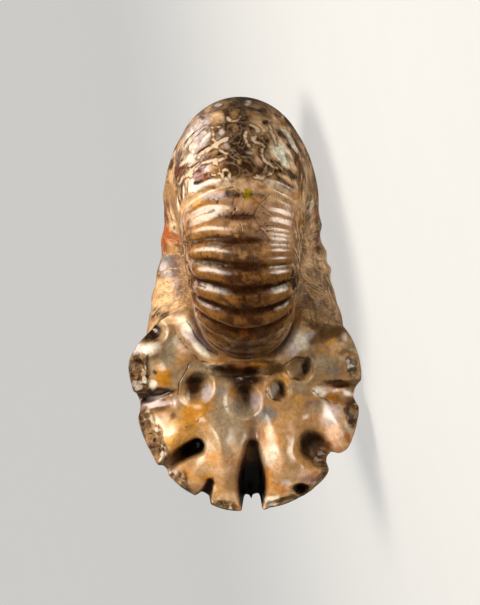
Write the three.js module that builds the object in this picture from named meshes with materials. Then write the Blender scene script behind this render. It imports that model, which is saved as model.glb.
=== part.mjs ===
// Ammonite fossil: one solid, in millimetres, +Z up, lying on its right flank.
//
// The coil is described in its own frame: X is the coil axis and points to the fossil's right, -Y is
// the side that the end septum faces, and Z runs up through the outer whorl. A point of the shell wall
// has two places: turn, its angle round the axis in degrees (0 at the end septum, negative on older
// shell), and v, its place round the whorl (0 on the outer edge, +-1 on the seam with the whorl inside).
import * as THREE from "three";

// --- driving dimensions ---------------------------------------------------------------------------
const WHORL_GROWTH = 2.54; // size of a whorl over the size of the whorl inside it
const EDGE_RADIUS = 86; // outer edge of the whorl at the end septum, from the coil axis
const WIDEST_HALF = 38.7; // half the width there
const WIDEST_RADIUS = 42.7; // distance of the widest line from the axis there
const WIDEST_V = 0.66; // place of the widest line round the whorl
const SLIM_SHARE = 0.05; // the last whorl is this much narrower behind its end
const FLARE_SHARE = 0.05; // and the inner whorl this much wider where it leaves the septum

const RIB_FIRST = -249; // turn of the crest nearest the growth arc
const RIB_STEP = 9.6; // degrees to the next crest
const RIB_SPREAD = 0.26; // and how this grows from crest to crest
const RIB_HEIGHT = 1.5;
const ARC_TURN = -239; // the polished outer layer begins here, at a curved step
const ARC_HEIGHT = 2.2;
const FLANK_WAVE = 0.2; // fine unevenness of the flanks
const FLANK_SWELL = { height: 0.9, at: -55, step: 88 }; // broad swells, on which the fossil lies

const FACE_BULGE = 5; // how far the middle of the end septum stands out
const COLLAR_HEIGHT = 2.6; // fold of the septum round the inner whorl
const EDGE_STRIP = { depth: 2.0, inner: 2.7, outer: 1.9 }; // broken shell edge along the lower rim
const EDGE_BAND = { depth: 1.8, inner: 5.6, outer: 4.2 }; // broader broken edge on the left

// Lobes of the septum run from a root on its face out over the rim. Each has its root and mouth, the
// half-width and depth at both, and a sideways bend.
const LOBES = [
  { root: [1.2, -60.0], mouth: [0.2, -84.0], half: [2.4, 5.0], depth: [4.5, 17.0], bend: 0 },
  { root: [-17.2, -63.2], mouth: [-29.5, -71.0], half: [3.0, 2.6], depth: [12.0, 7.0], bend: 0.8 },
  { root: [-13.6, -76.2], mouth: [-17.6, -83.5], half: [1.6, 2.8], depth: [6.0, 11.0], bend: -0.4 },
  { root: [19.6, -61.6], mouth: [29.5, -70.0], half: [4.2, 4.0], depth: [10.0, 6.0], bend: 0 },
  { root: [24.8, -45.7], mouth: [38.0, -47.0], half: [2.2, 3.9], depth: [2.2, 5.5], bend: 0 },
  { root: [-26.5, -44.5], mouth: [-38.0, -46.0], half: [1.0, 1.7], depth: [2.5, 5.5], bend: -0.6 },
  { root: [-27.0, -48.2], mouth: [-38.0, -49.2], half: [2.2, 3.0], depth: [1.6, 3.4], bend: 0 },
];

// Pits in the face: centre, half-width and half-height, depth, and how far the floor is pushed aside.
const PITS = [
  { at: [-0.6, -48.2], half: [5.3, 6.0], depth: 5.0, push: [0.4, 1.6] },
  { at: [-16.2, -42.9], half: [5.2, 5.2], depth: 5.0, push: [-1.4, 1.6] },
  { at: [10.2, -45.0], half: [3.5, 3.9], depth: 3.6, push: [1.1, -0.2] },
  { at: [18.4, -38.0], half: [4.2, 4.5], depth: 4.6, push: [1.4, 0.2] },
  { at: [-31.0, -24.2], half: [4.8, 3.9], depth: 6.5, push: [-0.6, 0.8] },
  { at: [15.0, -79.0], half: [2.3, 2.3], depth: 9.0, push: [0, 0] },
  { at: [-6.0, -37.4], half: [5.5, 1.9], depth: 2.4, push: [0, 0.4] },
  { at: [3.0, -38.8], half: [4.5, 2.6], depth: 2.6, push: [0, 0.6] },
];

// Swells between them: centre, half-width and half-height, tilt in degrees and height.
const SWELLS = [
  { at: [-25.0, -60.2], half: [4.4, 7.0], tilt: -25, height: 2.6 },
  { at: [-9.5, -69.0], half: [7.5, 14.0], tilt: 6, height: 1.8 },
  { at: [9.5, -69.0], half: [6.5, 15.0], tilt: -8, height: 2.2 },
  { at: [31.5, -58.0], half: [5.5, 9.5], tilt: 12, height: 2.2 },
  { at: [29.5, -37.0], half: [8.0, 6.5], tilt: 0, height: 1.6 },
  { at: [-27.5, -36.0], half: [8.0, 6.0], tilt: 0, height: 1.4 },
  { at: [-31.5, -30.2], half: [4.6, 2.6], tilt: 0, height: 1.6 },
];

// Chips broken out of the wall at its end: centre, reach and depth. A negative depth stands out.
const CHIPS = [
  { at: [-39.6, -48.8], reach: 3.2, depth: 2.2 },
  { at: [37.4, -47.3], reach: 3.2, depth: 2.4 },
  { at: [29.6, -69.8], reach: 3.4, depth: 3.6 },
  { at: [-39.0, -34.0], reach: 6.0, depth: -1.8 },
];

// How the fossil lies: the direction that points down, in the coil's frame.
const REST_DOWN = [0.9843, 0.079, 0.1577];

// Faces: rows round the coil and columns round the whorl.
const RIB_ROW_STEP = 2.6; // degrees
const BACK_ROWS = 22;
const END_ROWS = [-24, -15, -8, -3.5, 0]; // these have the rim's finer columns
const COARSE = { outer: 26, side: 5 };
const FINE = { outer: 52, side: 10 };
const SEPTUM_ROWS = 17;
const HUB_HALF = 1.4; // half-distance between the centres of the two umbilici

// --- small maths ----------------------------------------------------------------------------------
const SPIRAL = Math.log(WHORL_GROWTH) / 360; // growth per degree
const SEAM_HALF = WIDEST_HALF / WHORL_GROWTH;
const SEAM_RADIUS = WIDEST_RADIUS / WHORL_GROWTH;
const OUTER_RISE = EDGE_RADIUS - WIDEST_RADIUS;
const FIRST_TURN = -360; // the wall that is bare in front starts one whorl before the septum
const NORMAL_STEP = 1e-3;

const { sin, cos, abs, hypot, exp, sqrt, asin, atan2, PI } = Math;
const clamp = THREE.MathUtils.clamp;
const radians = THREE.MathUtils.degToRad;
const degrees = THREE.MathUtils.radToDeg;

/** 0 below a, 1 above b and smooth between, for a < b. */
function rise(a, b, x) {
  return THREE.MathUtils.smoothstep(x, a, b);
}

/** 1 below a, 0 above b and smooth between, for a < b. */
function fall(a, b, x) {
  return 1 - rise(a, b, x);
}

function bell(x) {
  return exp(-x * x);
}

// --- shell wall -----------------------------------------------------------------------------------
/** Half-width and radius of the whorl at v, for the size that it has at the end septum. */
function section(v) {
  const side = abs(v);
  if (side <= WIDEST_V) {
    const angle = ((side / WIDEST_V) * PI) / 2;
    return [Math.sign(v) * WIDEST_HALF * sin(angle), WIDEST_RADIUS + OUTER_RISE * cos(angle)];
  }
  const angle = (((side - WIDEST_V) / (1 - WIDEST_V)) * PI) / 2;
  const half = SEAM_HALF + (WIDEST_HALF - SEAM_HALF) * cos(angle);
  return [Math.sign(v) * half, WIDEST_RADIUS - (WIDEST_RADIUS - SEAM_RADIUS) * sin(angle)];
}

/** How much wider or narrower the whorl is than a true spiral. */
function fullness(turn) {
  return FLARE_SHARE * fall(-352, -300, turn) - SLIM_SHARE * rise(-245, -190, turn) * fall(-80, -8, turn);
}

/** The plain coil: a point without ribs, steps or chips. */
function coil(turn, v) {
  const size = exp(SPIRAL * turn);
  const [half, radius] = section(v);
  const wall = rise(WIDEST_V, 1, abs(v));
  const width = 1 + fullness(turn) * (1 - wall) + fullness(turn - 360) * wall;
  const angle = radians(turn);
  return new THREE.Vector3(half * width * size, -radius * size * sin(angle), -radius * size * cos(angle));
}

function coilNormal(turn, v) {
  const inside = clamp(v, -1 + NORMAL_STEP, 1 - NORMAL_STEP);
  const along = coil(turn + NORMAL_STEP, v).sub(coil(turn - NORMAL_STEP, v));
  const across = coil(turn, inside + NORMAL_STEP).sub(coil(turn, inside - NORMAL_STEP));
  return across.cross(along).normalize();
}

/** Number of the rib at this turn: whole on a crest, half-way in a valley. */
function ribNumber(turn) {
  const root = sqrt(Math.max(RIB_STEP ** 2 - 4 * RIB_SPREAD * (turn - RIB_FIRST), 0));
  return (root - RIB_STEP) / (2 * RIB_SPREAD);
}

function ribs(turn, v) {
  const number = ribNumber(turn);
  const crest = (0.5 + 0.5 * cos(2 * PI * number)) ** 0.8;
  const split = 0.5 + 0.5 * cos(4 * PI * number);
  const onRight = rise(0.16, 0.3, v) * fall(0.5, 0.62, v) * rise(-292, -284, turn);
  const side = 1 - 0.7 * rise(0.34, 0.56, abs(v)) - 0.3 * rise(0.56, WIDEST_V, abs(v));
  const shape = crest * (1 - 0.5 * onRight) + 0.45 * split * onRight - 0.5;
  return RIB_HEIGHT * exp(SPIRAL * (turn + 300)) * fall(ARC_TURN - 6, ARC_TURN - 1, turn) * side * shape;
}

/** The polished layer ends at the arc: shell stands a little higher past it and lower before it. */
function arcStep(turn, v) {
  const past = rise(ARC_TURN - 0.9, ARC_TURN + 0.9, turn);
  const higher = 0.4 * past * fall(ARC_TURN, -185, turn);
  const lower = 0.6 * (1 - past) * rise(-285, ARC_TURN, turn);
  return ARC_HEIGHT * fall(0.3, 0.62, abs(v)) * (higher - lower);
}

function flankWaves(turn, v) {
  const a = radians(turn);
  const onFlank = rise(0.3, 0.55, abs(v)) * fall(0.85, 1, abs(v)) * rise(-352, -330, turn);
  const waves = sin(11 * a + 9 * v) * sin(5 * a - 14 * v + 1) + 0.5 * sin(23 * a - 17 * v + 2);
  const swell = cos((2 * PI * (turn - FLANK_SWELL.at)) / FLANK_SWELL.step);
  const lastHalf = rise(-215, -180, turn) * fall(-30, -12, turn);
  return onFlank * (FLANK_WAVE * waves + FLANK_SWELL.height * lastHalf * swell);
}

/** A point of the finished wall. */
function wall(turn, v) {
  const point = coil(turn, v);
  let out = ribs(turn, v) + arcStep(turn, v) + flankWaves(turn, v);
  for (const { at, reach, depth } of CHIPS) {
    out -= depth * bell(hypot(point.x - at[0], point.z - at[1]) / reach) * rise(-16, -4, turn);
  }
  return point.addScaledVector(coilNormal(turn, v), out);
}

// --- end septum -----------------------------------------------------------------------------------
function lobeDepth({ root, mouth, half, depth, bend }, x, z) {
  const run = [mouth[0] - root[0], mouth[1] - root[1]];
  const length = hypot(run[0], run[1]);
  const place = ((x - root[0]) * run[0] + (z - root[1]) * run[1]) / length ** 2;
  const middle = clamp(place, 0, 1);
  const aside = ((z - root[1]) * run[0] - (x - root[0]) * run[1]) / length + bend * 4 * middle * (1 - middle);
  const grown = rise(0, 1, place);
  const gap = hypot(Math.min(place, 0) * length, aside) / (half[0] + (half[1] - half[0]) * grown);
  const deep = depth[0] + (depth[1] - depth[0]) * grown;
  return deep * (fall(0.35, 1.45, gap) + 0.16 * bell(gap / 2.3));
}

function pitDepth({ at, half, depth, push }, x, z) {
  const gap = hypot((x - at[0]) / half[0], (z - at[1]) / half[1]);
  const inside = clamp(1 - gap, 0, 1);
  const floor = hypot((x - at[0] - push[0] * inside) / half[0], (z - at[1] - push[1] * inside) / half[1]);
  return depth * (clamp(1 - floor ** 2, 0, 1) ** 1.5 - 0.09 * bell((gap - 1.12) / 0.25));
}

function swellHeight({ at, half, tilt, height }, x, z) {
  const a = radians(tilt);
  const across = (x - at[0]) * cos(a) + (z - at[1]) * sin(a);
  const up = (z - at[1]) * cos(a) - (x - at[0]) * sin(a);
  return height * bell(hypot(across / half[0], up / half[1]));
}

/** Broken shell edges, which lie lower than the face, along parts of the lower rim. */
function edgeDepth(x, z) {
  const gap = (1 - hypot(x / WIDEST_HALF, (z + WIDEST_RADIUS) / OUTER_RISE)) * 41;
  const round = degrees(atan2(x, -(z + WIDEST_RADIUS)));
  const strip = rise(6, 9, round) * fall(38, 44, round) + rise(-50, -46, round) * fall(-24, -20, round);
  const band = rise(-80, -74, round) * fall(-54, -50, round);
  const stripDepth = EDGE_STRIP.depth * strip * fall(EDGE_STRIP.outer, EDGE_STRIP.inner, gap);
  const bandDepth = EDGE_BAND.depth * band * fall(EDGE_BAND.outer, EDGE_BAND.inner, gap);
  return fall(-48, -46, z) * (stripDepth + bandDepth);
}

/** How far the septum stands out of the end plane, toward -Y. */
function septumHeight(x, z) {
  const bentX = x + 2.2 * sin(0.23 * z + 0.6);
  const bentZ = z + 2.4 * sin(0.19 * x + 1.1);
  let height = FACE_BULGE * bell(hypot(x / 24, (z + 52) / 22)) - 1;
  height += 0.35 * sin(0.3 * bentX + 0.13 * bentZ + 1) * cos(0.24 * bentZ - 0.11 * bentX);
  height += 0.13 * sin(0.66 * bentX - 0.41 * bentZ) * cos(0.49 * bentZ + 0.52 * bentX + 2);
  // Beside the inner whorl it comes forward, and it rounds back at the umbilical shoulders.
  height += 4 * rise(-44, -20, z) * rise(6, 20, abs(x)) - 5 * rise(-28, -14, z) * rise(24, 33, abs(x));
  for (const lobe of LOBES) height -= lobeDepth(lobe, x, z);
  for (const pit of PITS) height -= pitDepth(pit, x, z);
  for (const swell of SWELLS) height += swellHeight(swell, x, z);
  const fromWhorl = hypot(x / SEAM_HALF, (z + SEAM_RADIUS) * (WHORL_GROWTH / OUTER_RISE)) - 1;
  height += COLLAR_HEIGHT * bell((fromWhorl - 0.24) / 0.16) * (0.35 + 0.65 * rise(2, 9, abs(x)));
  return height - edgeDepth(x, z);
}

/** Turn at which the wall meets the septum: near 0 on the rim, near -360 on the inner whorl. */
function meetingTurn(v, near) {
  let turn = near;
  for (let pass = 0; pass < 30; pass++) {
    const p = wall(turn, v);
    const met = near + degrees(asin(clamp(septumHeight(p.x, p.z) / hypot(p.y, p.z), -0.9, 0.9)));
    turn += 0.4 * (met - turn);
  }
  return turn;
}

// --- mesh -----------------------------------------------------------------------------------------
/** Collects shared vertices and the triangles between rows of them. */
class Skin {
  constructor() {
    this.positions = [];
    this.triangles = [];
  }

  vertex(point) {
    this.positions.push(point.x, point.y, point.z);
    return this.positions.length / 3 - 1;
  }

  point(vertex) {
    return new THREE.Vector3().fromArray(this.positions, 3 * vertex);
  }

  triangle(a, b, c) {
    if (a !== b && b !== c && c !== a) this.triangles.push(a, b, c);
  }

  /** Joins two rows, whose counts may differ, by their places. The second lies at the first's left. */
  stitch(first, second) {
    let i = 0;
    let j = 0;
    while (i < first.length - 1 || j < second.length - 1) {
      const firstNext = i < first.length - 1 ? first[i].place + first[i + 1].place : Infinity;
      const secondNext = j < second.length - 1 ? second[j].place + second[j + 1].place : Infinity;
      if (firstNext <= secondNext) {
        this.triangle(first[i].vertex, first[i + 1].vertex, second[j].vertex);
        i += 1;
      } else {
        this.triangle(first[i].vertex, second[j + 1].vertex, second[j].vertex);
        j += 1;
      }
    }
  }

  geometry() {
    const made = new THREE.BufferGeometry();
    made.setAttribute("position", new THREE.Float32BufferAttribute(this.positions, 3));
    made.setIndex(this.triangles);
    return made;
  }
}

/** Places round the whorl: side steps from each seam to the widest line, outer steps between. */
function columns({ outer, side }) {
  const places = [];
  for (let i = 0; i < side; i++) places.push(-1 + ((1 - WIDEST_V) * i) / side);
  for (let i = 0; i <= outer; i++) places.push(WIDEST_V * ((2 * i) / outer - 1));
  for (let i = 1; i <= side; i++) places.push(WIDEST_V + ((1 - WIDEST_V) * i) / side);
  return places;
}

function rowTurns() {
  const turns = [];
  for (let turn = FIRST_TURN; turn < ARC_TURN + 1.5; turn += RIB_ROW_STEP) turns.push(turn);
  const last = turns[turns.length - 1];
  for (let i = 1; i <= BACK_ROWS; i++) turns.push(last + ((END_ROWS[0] - 10 - last) * i) / BACK_ROWS);
  return [...turns, ...END_ROWS];
}

/** Rows of the wall, from where it leaves the septum to the septum's rim. */
function wallRows(skin) {
  const turns = rowTurns();
  const seamStart = meetingTurn(WIDEST_V, FIRST_TURN);
  const startShift = (v) => (abs(v) < WIDEST_V - 1e-9 ? meetingTurn(v, FIRST_TURN) : seamStart) - FIRST_TURN;
  return turns.map((turn, index) => {
    const places = columns(index >= turns.length - END_ROWS.length ? FINE : COARSE);
    const nearStart = fall(FIRST_TURN, -288, turn);
    const nearEnd = rise(-40, 0, turn);
    return places.map((v) => {
      const start = nearStart > 0 ? nearStart * startShift(v) : 0;
      const end = nearEnd > 0 ? nearEnd * meetingTurn(v, 0) : 0;
      const met = turn + start + end;
      return { place: v, turn: met, vertex: skin.vertex(wall(met, v)) };
    });
  });
}

/** The septum spans from the bare whorl's first row to the rim. */
function addSeptum(skin, root, rim) {
  let before = root.map(({ place, vertex }) => ({ place: place / WIDEST_V, vertex }));
  const inner = rim.map(({ place }) => wall(meetingTurn(place * WIDEST_V, FIRST_TURN), place * WIDEST_V));
  for (let i = 1; i < SEPTUM_ROWS; i++) {
    const row = rim.map(({ place, vertex }, index) => {
      if (index === 0 || index === rim.length - 1) return { place, vertex };
      const point = inner[index].clone().lerp(skin.point(vertex), i / SEPTUM_ROWS);
      point.y = -septumHeight(point.x, point.z);
      return { place, vertex: skin.vertex(point) };
    });
    skin.stitch(row, before);
    before = row;
  }
  skin.stitch(rim, before);
}

/** One whorl of umbilical wall below the last seam, and the hub that closes its middle. */
function addUmbilicus(skin, rows, first, side) {
  const seam = rows.map((row) => (side > 0 ? row[row.length - 1] : row[0]));
  const places = first.map(({ place }) => place);
  const own = seam.map(({ turn, vertex }, index) => {
    if (index === rows.length - 1) return first;
    return places.map((v) => {
      const joins = abs(v) === Math.min(...places.map(abs));
      return { place: v, vertex: joins ? vertex : skin.vertex(coil(turn - 360, v)) };
    });
  });
  for (let i = 1; i < own.length; i++) skin.stitch(own[i - 1], own[i]);
  const hub = skin.vertex(new THREE.Vector3(side * HUB_HALF, 0, 0));
  const inner = own.map((row) => (side > 0 ? row[row.length - 1] : row[0]).vertex);
  for (let i = 1; i < inner.length; i++) {
    if (side > 0) skin.triangle(inner[i - 1], hub, inner[i]);
    else skin.triangle(inner[i - 1], inner[i], hub);
  }
  for (let i = 1; i < own[0].length; i++) skin.triangle(hub, own[0][i].vertex, own[0][i - 1].vertex);
}

function ammoniteGeometry() {
  const skin = new Skin();
  const rows = wallRows(skin);
  const first = rows[0];
  const rim = rows[rows.length - 1];
  const left = COARSE.side;
  const right = COARSE.side + COARSE.outer;
  // The rim's two ends lie on the first row's widest lines.
  rim[0].vertex = first[left].vertex;
  rim[rim.length - 1].vertex = first[right].vertex;
  for (let i = 1; i < rows.length; i++) skin.stitch(rows[i - 1], rows[i]);
  addSeptum(skin, first.slice(left, right + 1), rim);
  addUmbilicus(skin, rows, first.slice(0, left + 1), -1);
  addUmbilicus(skin, rows, first.slice(right), 1);
  return skin.geometry();
}

// --- the part -------------------------------------------------------------------------------------
/** Turns the coil onto its flank and centres it on the floor. */
function layDown(geometry) {
  const down = new THREE.Vector3(...REST_DOWN).normalize();
  const front = new THREE.Vector3(0, -1, 0);
  const toFront = front.addScaledVector(down, -front.dot(down)).normalize();
  const up = down.clone().negate();
  const aside = new THREE.Vector3().crossVectors(up, toFront);
  // The septum's side faces -Y on the floor.
  const axes = new THREE.Matrix4().makeBasis(aside, toFront.clone().negate(), up);
  geometry.applyMatrix4(axes.transpose());
  geometry.computeBoundingBox();
  const { min, max } = geometry.boundingBox;
  geometry.translate(-(min.x + max.x) / 2, -(min.y + max.y) / 2, -min.z);
  return geometry;
}

const stone = new THREE.MeshStandardMaterial({ color: 0x9a7448, roughness: 0.35, metalness: 0 });

const ammonite = new THREE.Mesh(layDown(ammoniteGeometry()), stone);
ammonite.name = "ammonite";

const part = new THREE.Group();
part.add(ammonite);

export default part;
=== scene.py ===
"""Ammonite fossil: the visual model, its stage, lights and camera, laid out as an add-on run as a script.

Lengths in the shape functions are millimetres in the coil's own frame: X is the coil axis and points to
the fossil's right, -Y is the side that the end septum faces, and Z runs up through the outer whorl.
Placing turns them into metres in the part's frame, where the fossil lies on its right flank. A turn is an
angle round the coil in degrees: 0 at the end septum and -360 where the inner whorl meets it. A place, v,
runs round the whorl's section from -1 at the left seam over 0 at the venter to 1 at the right seam.
"""
from functools import lru_cache
from math import pi, radians

import bpy
import numpy as np
from mathutils import Matrix, Vector


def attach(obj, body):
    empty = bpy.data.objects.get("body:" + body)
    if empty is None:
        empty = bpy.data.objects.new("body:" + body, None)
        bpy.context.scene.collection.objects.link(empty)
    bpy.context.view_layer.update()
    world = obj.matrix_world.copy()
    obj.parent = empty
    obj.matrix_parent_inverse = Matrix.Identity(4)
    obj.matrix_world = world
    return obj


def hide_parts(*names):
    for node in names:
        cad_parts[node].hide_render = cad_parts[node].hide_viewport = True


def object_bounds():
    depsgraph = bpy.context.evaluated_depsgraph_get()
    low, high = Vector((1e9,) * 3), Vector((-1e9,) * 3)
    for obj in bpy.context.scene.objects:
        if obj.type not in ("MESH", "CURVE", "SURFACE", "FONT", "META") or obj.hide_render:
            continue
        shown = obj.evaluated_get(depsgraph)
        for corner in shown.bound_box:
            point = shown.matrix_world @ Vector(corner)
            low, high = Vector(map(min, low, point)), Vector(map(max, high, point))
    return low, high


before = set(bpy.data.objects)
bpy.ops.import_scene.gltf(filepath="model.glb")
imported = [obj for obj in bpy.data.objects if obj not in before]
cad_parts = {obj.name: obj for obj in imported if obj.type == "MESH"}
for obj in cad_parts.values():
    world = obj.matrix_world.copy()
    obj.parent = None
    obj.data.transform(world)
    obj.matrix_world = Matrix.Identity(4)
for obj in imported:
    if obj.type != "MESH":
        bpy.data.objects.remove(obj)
CAD_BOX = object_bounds()

bl_info = {
    "name": "Ammonite fossil",
    "version": (1, 0, 0),
    "blender": (4, 5, 0),
    "location": "3D View > Sidebar > Ammonite",
    "description": "Builds an ammonite fossil with its stage, lights and camera",
    "category": "Add Mesh",
}

MM = 0.001  # metres in a millimetre

# --- the coil, as in the solid part ---------------------------------------------------------------
FULL_TURN = 360.0
WHORL_GROWTH = 2.54  # size of a whorl over the size of the whorl inside it
EDGE_RADIUS = 86.0  # outer edge of the whorl at the end septum, from the coil axis
WIDEST_HALF, WIDEST_RADIUS = 38.7, 42.7  # the whorl's widest line: half-width and radius
WIDEST_V = 0.66  # place of the widest line round the whorl
SLIM_SHARE, FLARE_SHARE = 0.05, 0.05  # how much slimmer the hidden side is, and how much wider the start
RIB_FIRST, RIB_STEP, RIB_SPREAD = -249.0, 9.6, 0.26  # turn of the first rib, and how the gaps grow
RIB_HEIGHT, RIB_LEVEL = 1.5, 0.55  # height, and the level of their shape that lies on the plain coil
ARC_TURN, ARC_HEIGHT = -239.0, 2.2  # the step where the ribbed shell ends
FLANK_WAVE = 0.2
FLANK_SWELL, FLANK_SWELL_AT, FLANK_SWELL_STEP = 0.9, -55.0, 88.0
FACE_BULGE, FACE_AT, FACE_HALF, FACE_SUNK = 5.0, -52.0, (24.0, 22.0), 1.0  # the septum's middle
SHOULDER_RISE, SHOULDER_DROP = 4.0, 5.0
COLLAR_HEIGHT, COLLAR_PLACE, COLLAR_WIDTH = 2.6, 0.24, 0.16  # ridge round the inner whorl
RIM_SCALE = 41.0  # turns a share of the rim's outline into millimetres
STRIP_DEPTH, STRIP_INNER, STRIP_OUTER = 2.0, 2.7, 1.9
BAND_DEPTH, BAND_INNER, BAND_OUTER = 1.8, 5.6, 4.2
LOBE_SKIRT, LOBE_SKIRT_WIDTH = 0.16, 2.3  # the hollow beside a lobe, over its depth and width
PIT_LIP, PIT_LIP_AT, PIT_LIP_WIDTH = 0.09, 1.12, 0.25  # the lip round a pit, over its depth and size

# Lobes: root x, z; mouth x, z; half-width and depth at root and mouth; sideways bend; belly.
LOBES = (
    ((1.0, -64.0), (0.4, -85.0), (2.6, 3.0), (6.0, 17.0), 0.0, 1.9),
    ((-17.6, -63.2), (-29.0, -70.6), (2.7, 2.0), (11.0, 4.0), 0.8, 0.0),
    ((-13.4, -75.6), (-17.6, -83.5), (1.5, 2.8), (6.0, 11.0), -0.4, 0.0),
    ((21.6, -65.0), (30.5, -71.0), (5.4, 2.2), (7.0, 5.0), 0.0, 0.0),
    ((24.8, -45.7), (38.0, -47.0), (2.2, 3.9), (2.2, 5.5), 0.0, 0.0),
    ((-26.5, -44.5), (-38.0, -46.0), (1.0, 1.7), (2.5, 5.5), -0.6, 0.0),
    ((-27.0, -48.2), (-38.0, -49.2), (2.2, 3.0), (1.6, 3.4), 0.0, 0.0),
)
LOWER_PIT = ((17.0, -78.4), (3.4, 2.1), 9.0, (0.0, 0.0))
# Pits: centre x, z; half-width and half-height; depth; how far the floor is pushed aside.
PITS = (
    ((-0.6, -48.2), (5.3, 6.0), 6.5, (0.4, 1.6)),
    ((-16.2, -42.9), (5.2, 5.2), 6.5, (-1.4, 1.6)),
    ((10.2, -45.0), (3.5, 3.9), 5.5, (1.1, -0.2)),
    ((18.4, -38.0), (4.4, 4.6), 6.5, (1.4, 0.2)),
    ((-31.0, -24.2), (4.8, 3.9), 6.5, (-0.6, 0.8)),
    LOWER_PIT,
    ((-6.0, -37.4), (5.5, 1.9), 2.4, (0.0, 0.4)),
    ((3.0, -38.8), (4.5, 2.6), 2.6, (0.0, 0.6)),
)
# Swells: centre x, z; half-width and half-height; tilt in degrees; height.
SWELLS = (
    ((-24.5, -59.0), (5.0, 8.0), -22.0, 5.2),
    ((-9.2, -65.5), (4.6, 11.0), 6.0, 5.2),
    ((-3.4, -66.0), (3.0, 7.5), -24.0, 1.6),
    ((11.5, -68.0), (6.0, 11.0), 10.0, 5.8),
    ((21.5, -73.5), (4.5, 3.4), 30.0, 2.0),
    ((31.0, -58.0), (5.0, 8.5), 12.0, 4.4),
    ((27.5, -36.5), (7.5, 5.5), 0.0, 3.4),
    ((-26.5, -37.5), (6.0, 7.0), 0.0, 3.2),
    ((-31.5, -30.2), (4.6, 2.6), 0.0, 2.4),
    ((2.2, -57.5), (3.2, 7.0), 0.0, -3.6),
    ((-15.0, -54.5), (4.5, 4.6), 30.0, 1.8),
    ((17.0, -55.0), (5.0, 4.0), 20.0, 1.6),
    ((-20.0, -31.0), (3.0, 5.0), 40.0, 1.6),
    ((0.3, -83.8), (1.5, 1.9), 0.0, 7.5),
)
# Chips in the wall at its end: centre x, z; reach; depth, negative where it stands out.
CHIPS = (
    ((-39.6, -48.8), 3.2, 2.2),
    ((37.4, -47.3), 3.2, 2.4),
    ((29.6, -69.8), 3.4, 3.6),
    ((-39.0, -34.0), 6.0, -1.8),
)
# Broken patches of the septum's border: centre x, z; half-width and half-height.
BROKEN = (
    ((-36.4, -38.4), (3.6, 7.4)),
    ((-35.0, -55.0), (3.4, 5.0)),
    ((-31.5, -62.5), (3.4, 7.0)),
    ((35.4, -53.6), (2.6, 4.5)),
    ((35.4, -36.8), (2.2, 4.6)),
    ((25.2, -69.4), (3.6, 3.2)),
    ((18.4, -79.0), (3.4, 2.4)),
    ((-10.0, -83.6), (5.5, 2.4)),
    ((-23.5, -75.6), (2.6, 4.6)),
)
FACET, FACET_HEIGHT, FACET_TILT = 2.3, 1.0, 1.6
# Bumps on the last whorl's flanks, as seen from the septum's side: x, z; reach; height.
BUMPS = (
    ((28.3, 1.2), 2.6, 1.3),
    ((28.9, -4.6), 2.0, 1.5),
    ((26.6, 10.5), 2.6, 1.0),
    ((-27.7, 7.0), 3.6, 1.3),
    ((-28.8, -3.6), 3.4, 1.3),
    ((-29.6, -11.6), 3.2, 0.9),
)
REST_DOWN = (0.9843, 0.079, 0.1577)  # the direction that points down, in the coil's frame

# --- mesh density ---------------------------------------------------------------------------------
FIRST_TURN = -FULL_TURN
FRONT_STEP = 1.0  # degrees between rows where the wall shows its ribs and sutures
FRONT_END = -165.0
BACK_STEP = 2.6
END_START = -19.0  # from here to the rim, rows have the septum's finer columns
END_STEP = 1.0
FIRST_BENT, LAST_BENT = -288.0, -40.0  # rows before the one and after the other bend to meet the septum
WALL_COLUMNS = (120, 12)  # on the outer part and on each side
RIM_COLUMNS = (316, 32)
SEPTUM_ROWS = 110
HUB_HALF = 1.4
MEETING_STEPS, MEETING_PACE, LEAN_LIMIT = 30, 0.4, 0.9

SPIRAL = np.log(WHORL_GROWTH) / FULL_TURN
SEAM_HALF = WIDEST_HALF / WHORL_GROWTH
SEAM_RADIUS = WIDEST_RADIUS / WHORL_GROWTH
OUTER_RISE = EDGE_RADIUS - WIDEST_RADIUS
NORMAL_STEP = 1e-3
LATTICE_AXES, LATTICE_SEED, LATTICE_SCALE = np.array([127.1, 311.7, 74.7]), 53.3, 43758.5453


# --- small maths ----------------------------------------------------------------------------------
def rise(low, high, x):
    """0 below low, 1 above high and smooth between."""
    t = np.clip((x - low) / (high - low), 0.0, 1.0)
    return t * t * (3.0 - 2.0 * t)


def fall(low, high, x):
    return 1.0 - rise(low, high, x)


def bell(x):
    return np.exp(-x * x)


def lattice(cell, seed):
    """A number from 0 to 1 for each cell, without any order."""
    wave = np.sin(cell @ LATTICE_AXES + LATTICE_SEED * seed) * LATTICE_SCALE
    return wave - np.floor(wave)


def oval(x, z, at, half, tilt=0.0):
    """Distance from an oval's centre, 1 on its outline."""
    c, s = np.cos(radians(tilt)), np.sin(radians(tilt))
    dx, dz = x - at[0], z - at[1]
    return np.hypot((dx * c + dz * s) / half[0], (dz * c - dx * s) / half[1])


# --- shell wall -----------------------------------------------------------------------------------
def section(v):
    """Half-width and radius of the whorl at v, for the size that it has at the end septum."""
    side = np.abs(v)
    outer = np.clip(side / WIDEST_V, 0.0, 1.0) * pi / 2
    inner = np.clip((side - WIDEST_V) / (1.0 - WIDEST_V), 0.0, 1.0) * pi / 2
    is_outer = side <= WIDEST_V
    half = np.where(is_outer, WIDEST_HALF * np.sin(outer),
                    SEAM_HALF + (WIDEST_HALF - SEAM_HALF) * np.cos(inner))
    radius = np.where(is_outer, WIDEST_RADIUS + OUTER_RISE * np.cos(outer),
                      WIDEST_RADIUS - (WIDEST_RADIUS - SEAM_RADIUS) * np.sin(inner))
    return np.sign(v) * half, radius


def fullness(turn):
    """How much wider than the plain coil the whorl is, as a share."""
    slim = SLIM_SHARE * rise(-245.0, -190.0, turn) * fall(-80.0, -8.0, turn)
    return FLARE_SHARE * fall(-352.0, -300.0, turn) - slim


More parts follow.
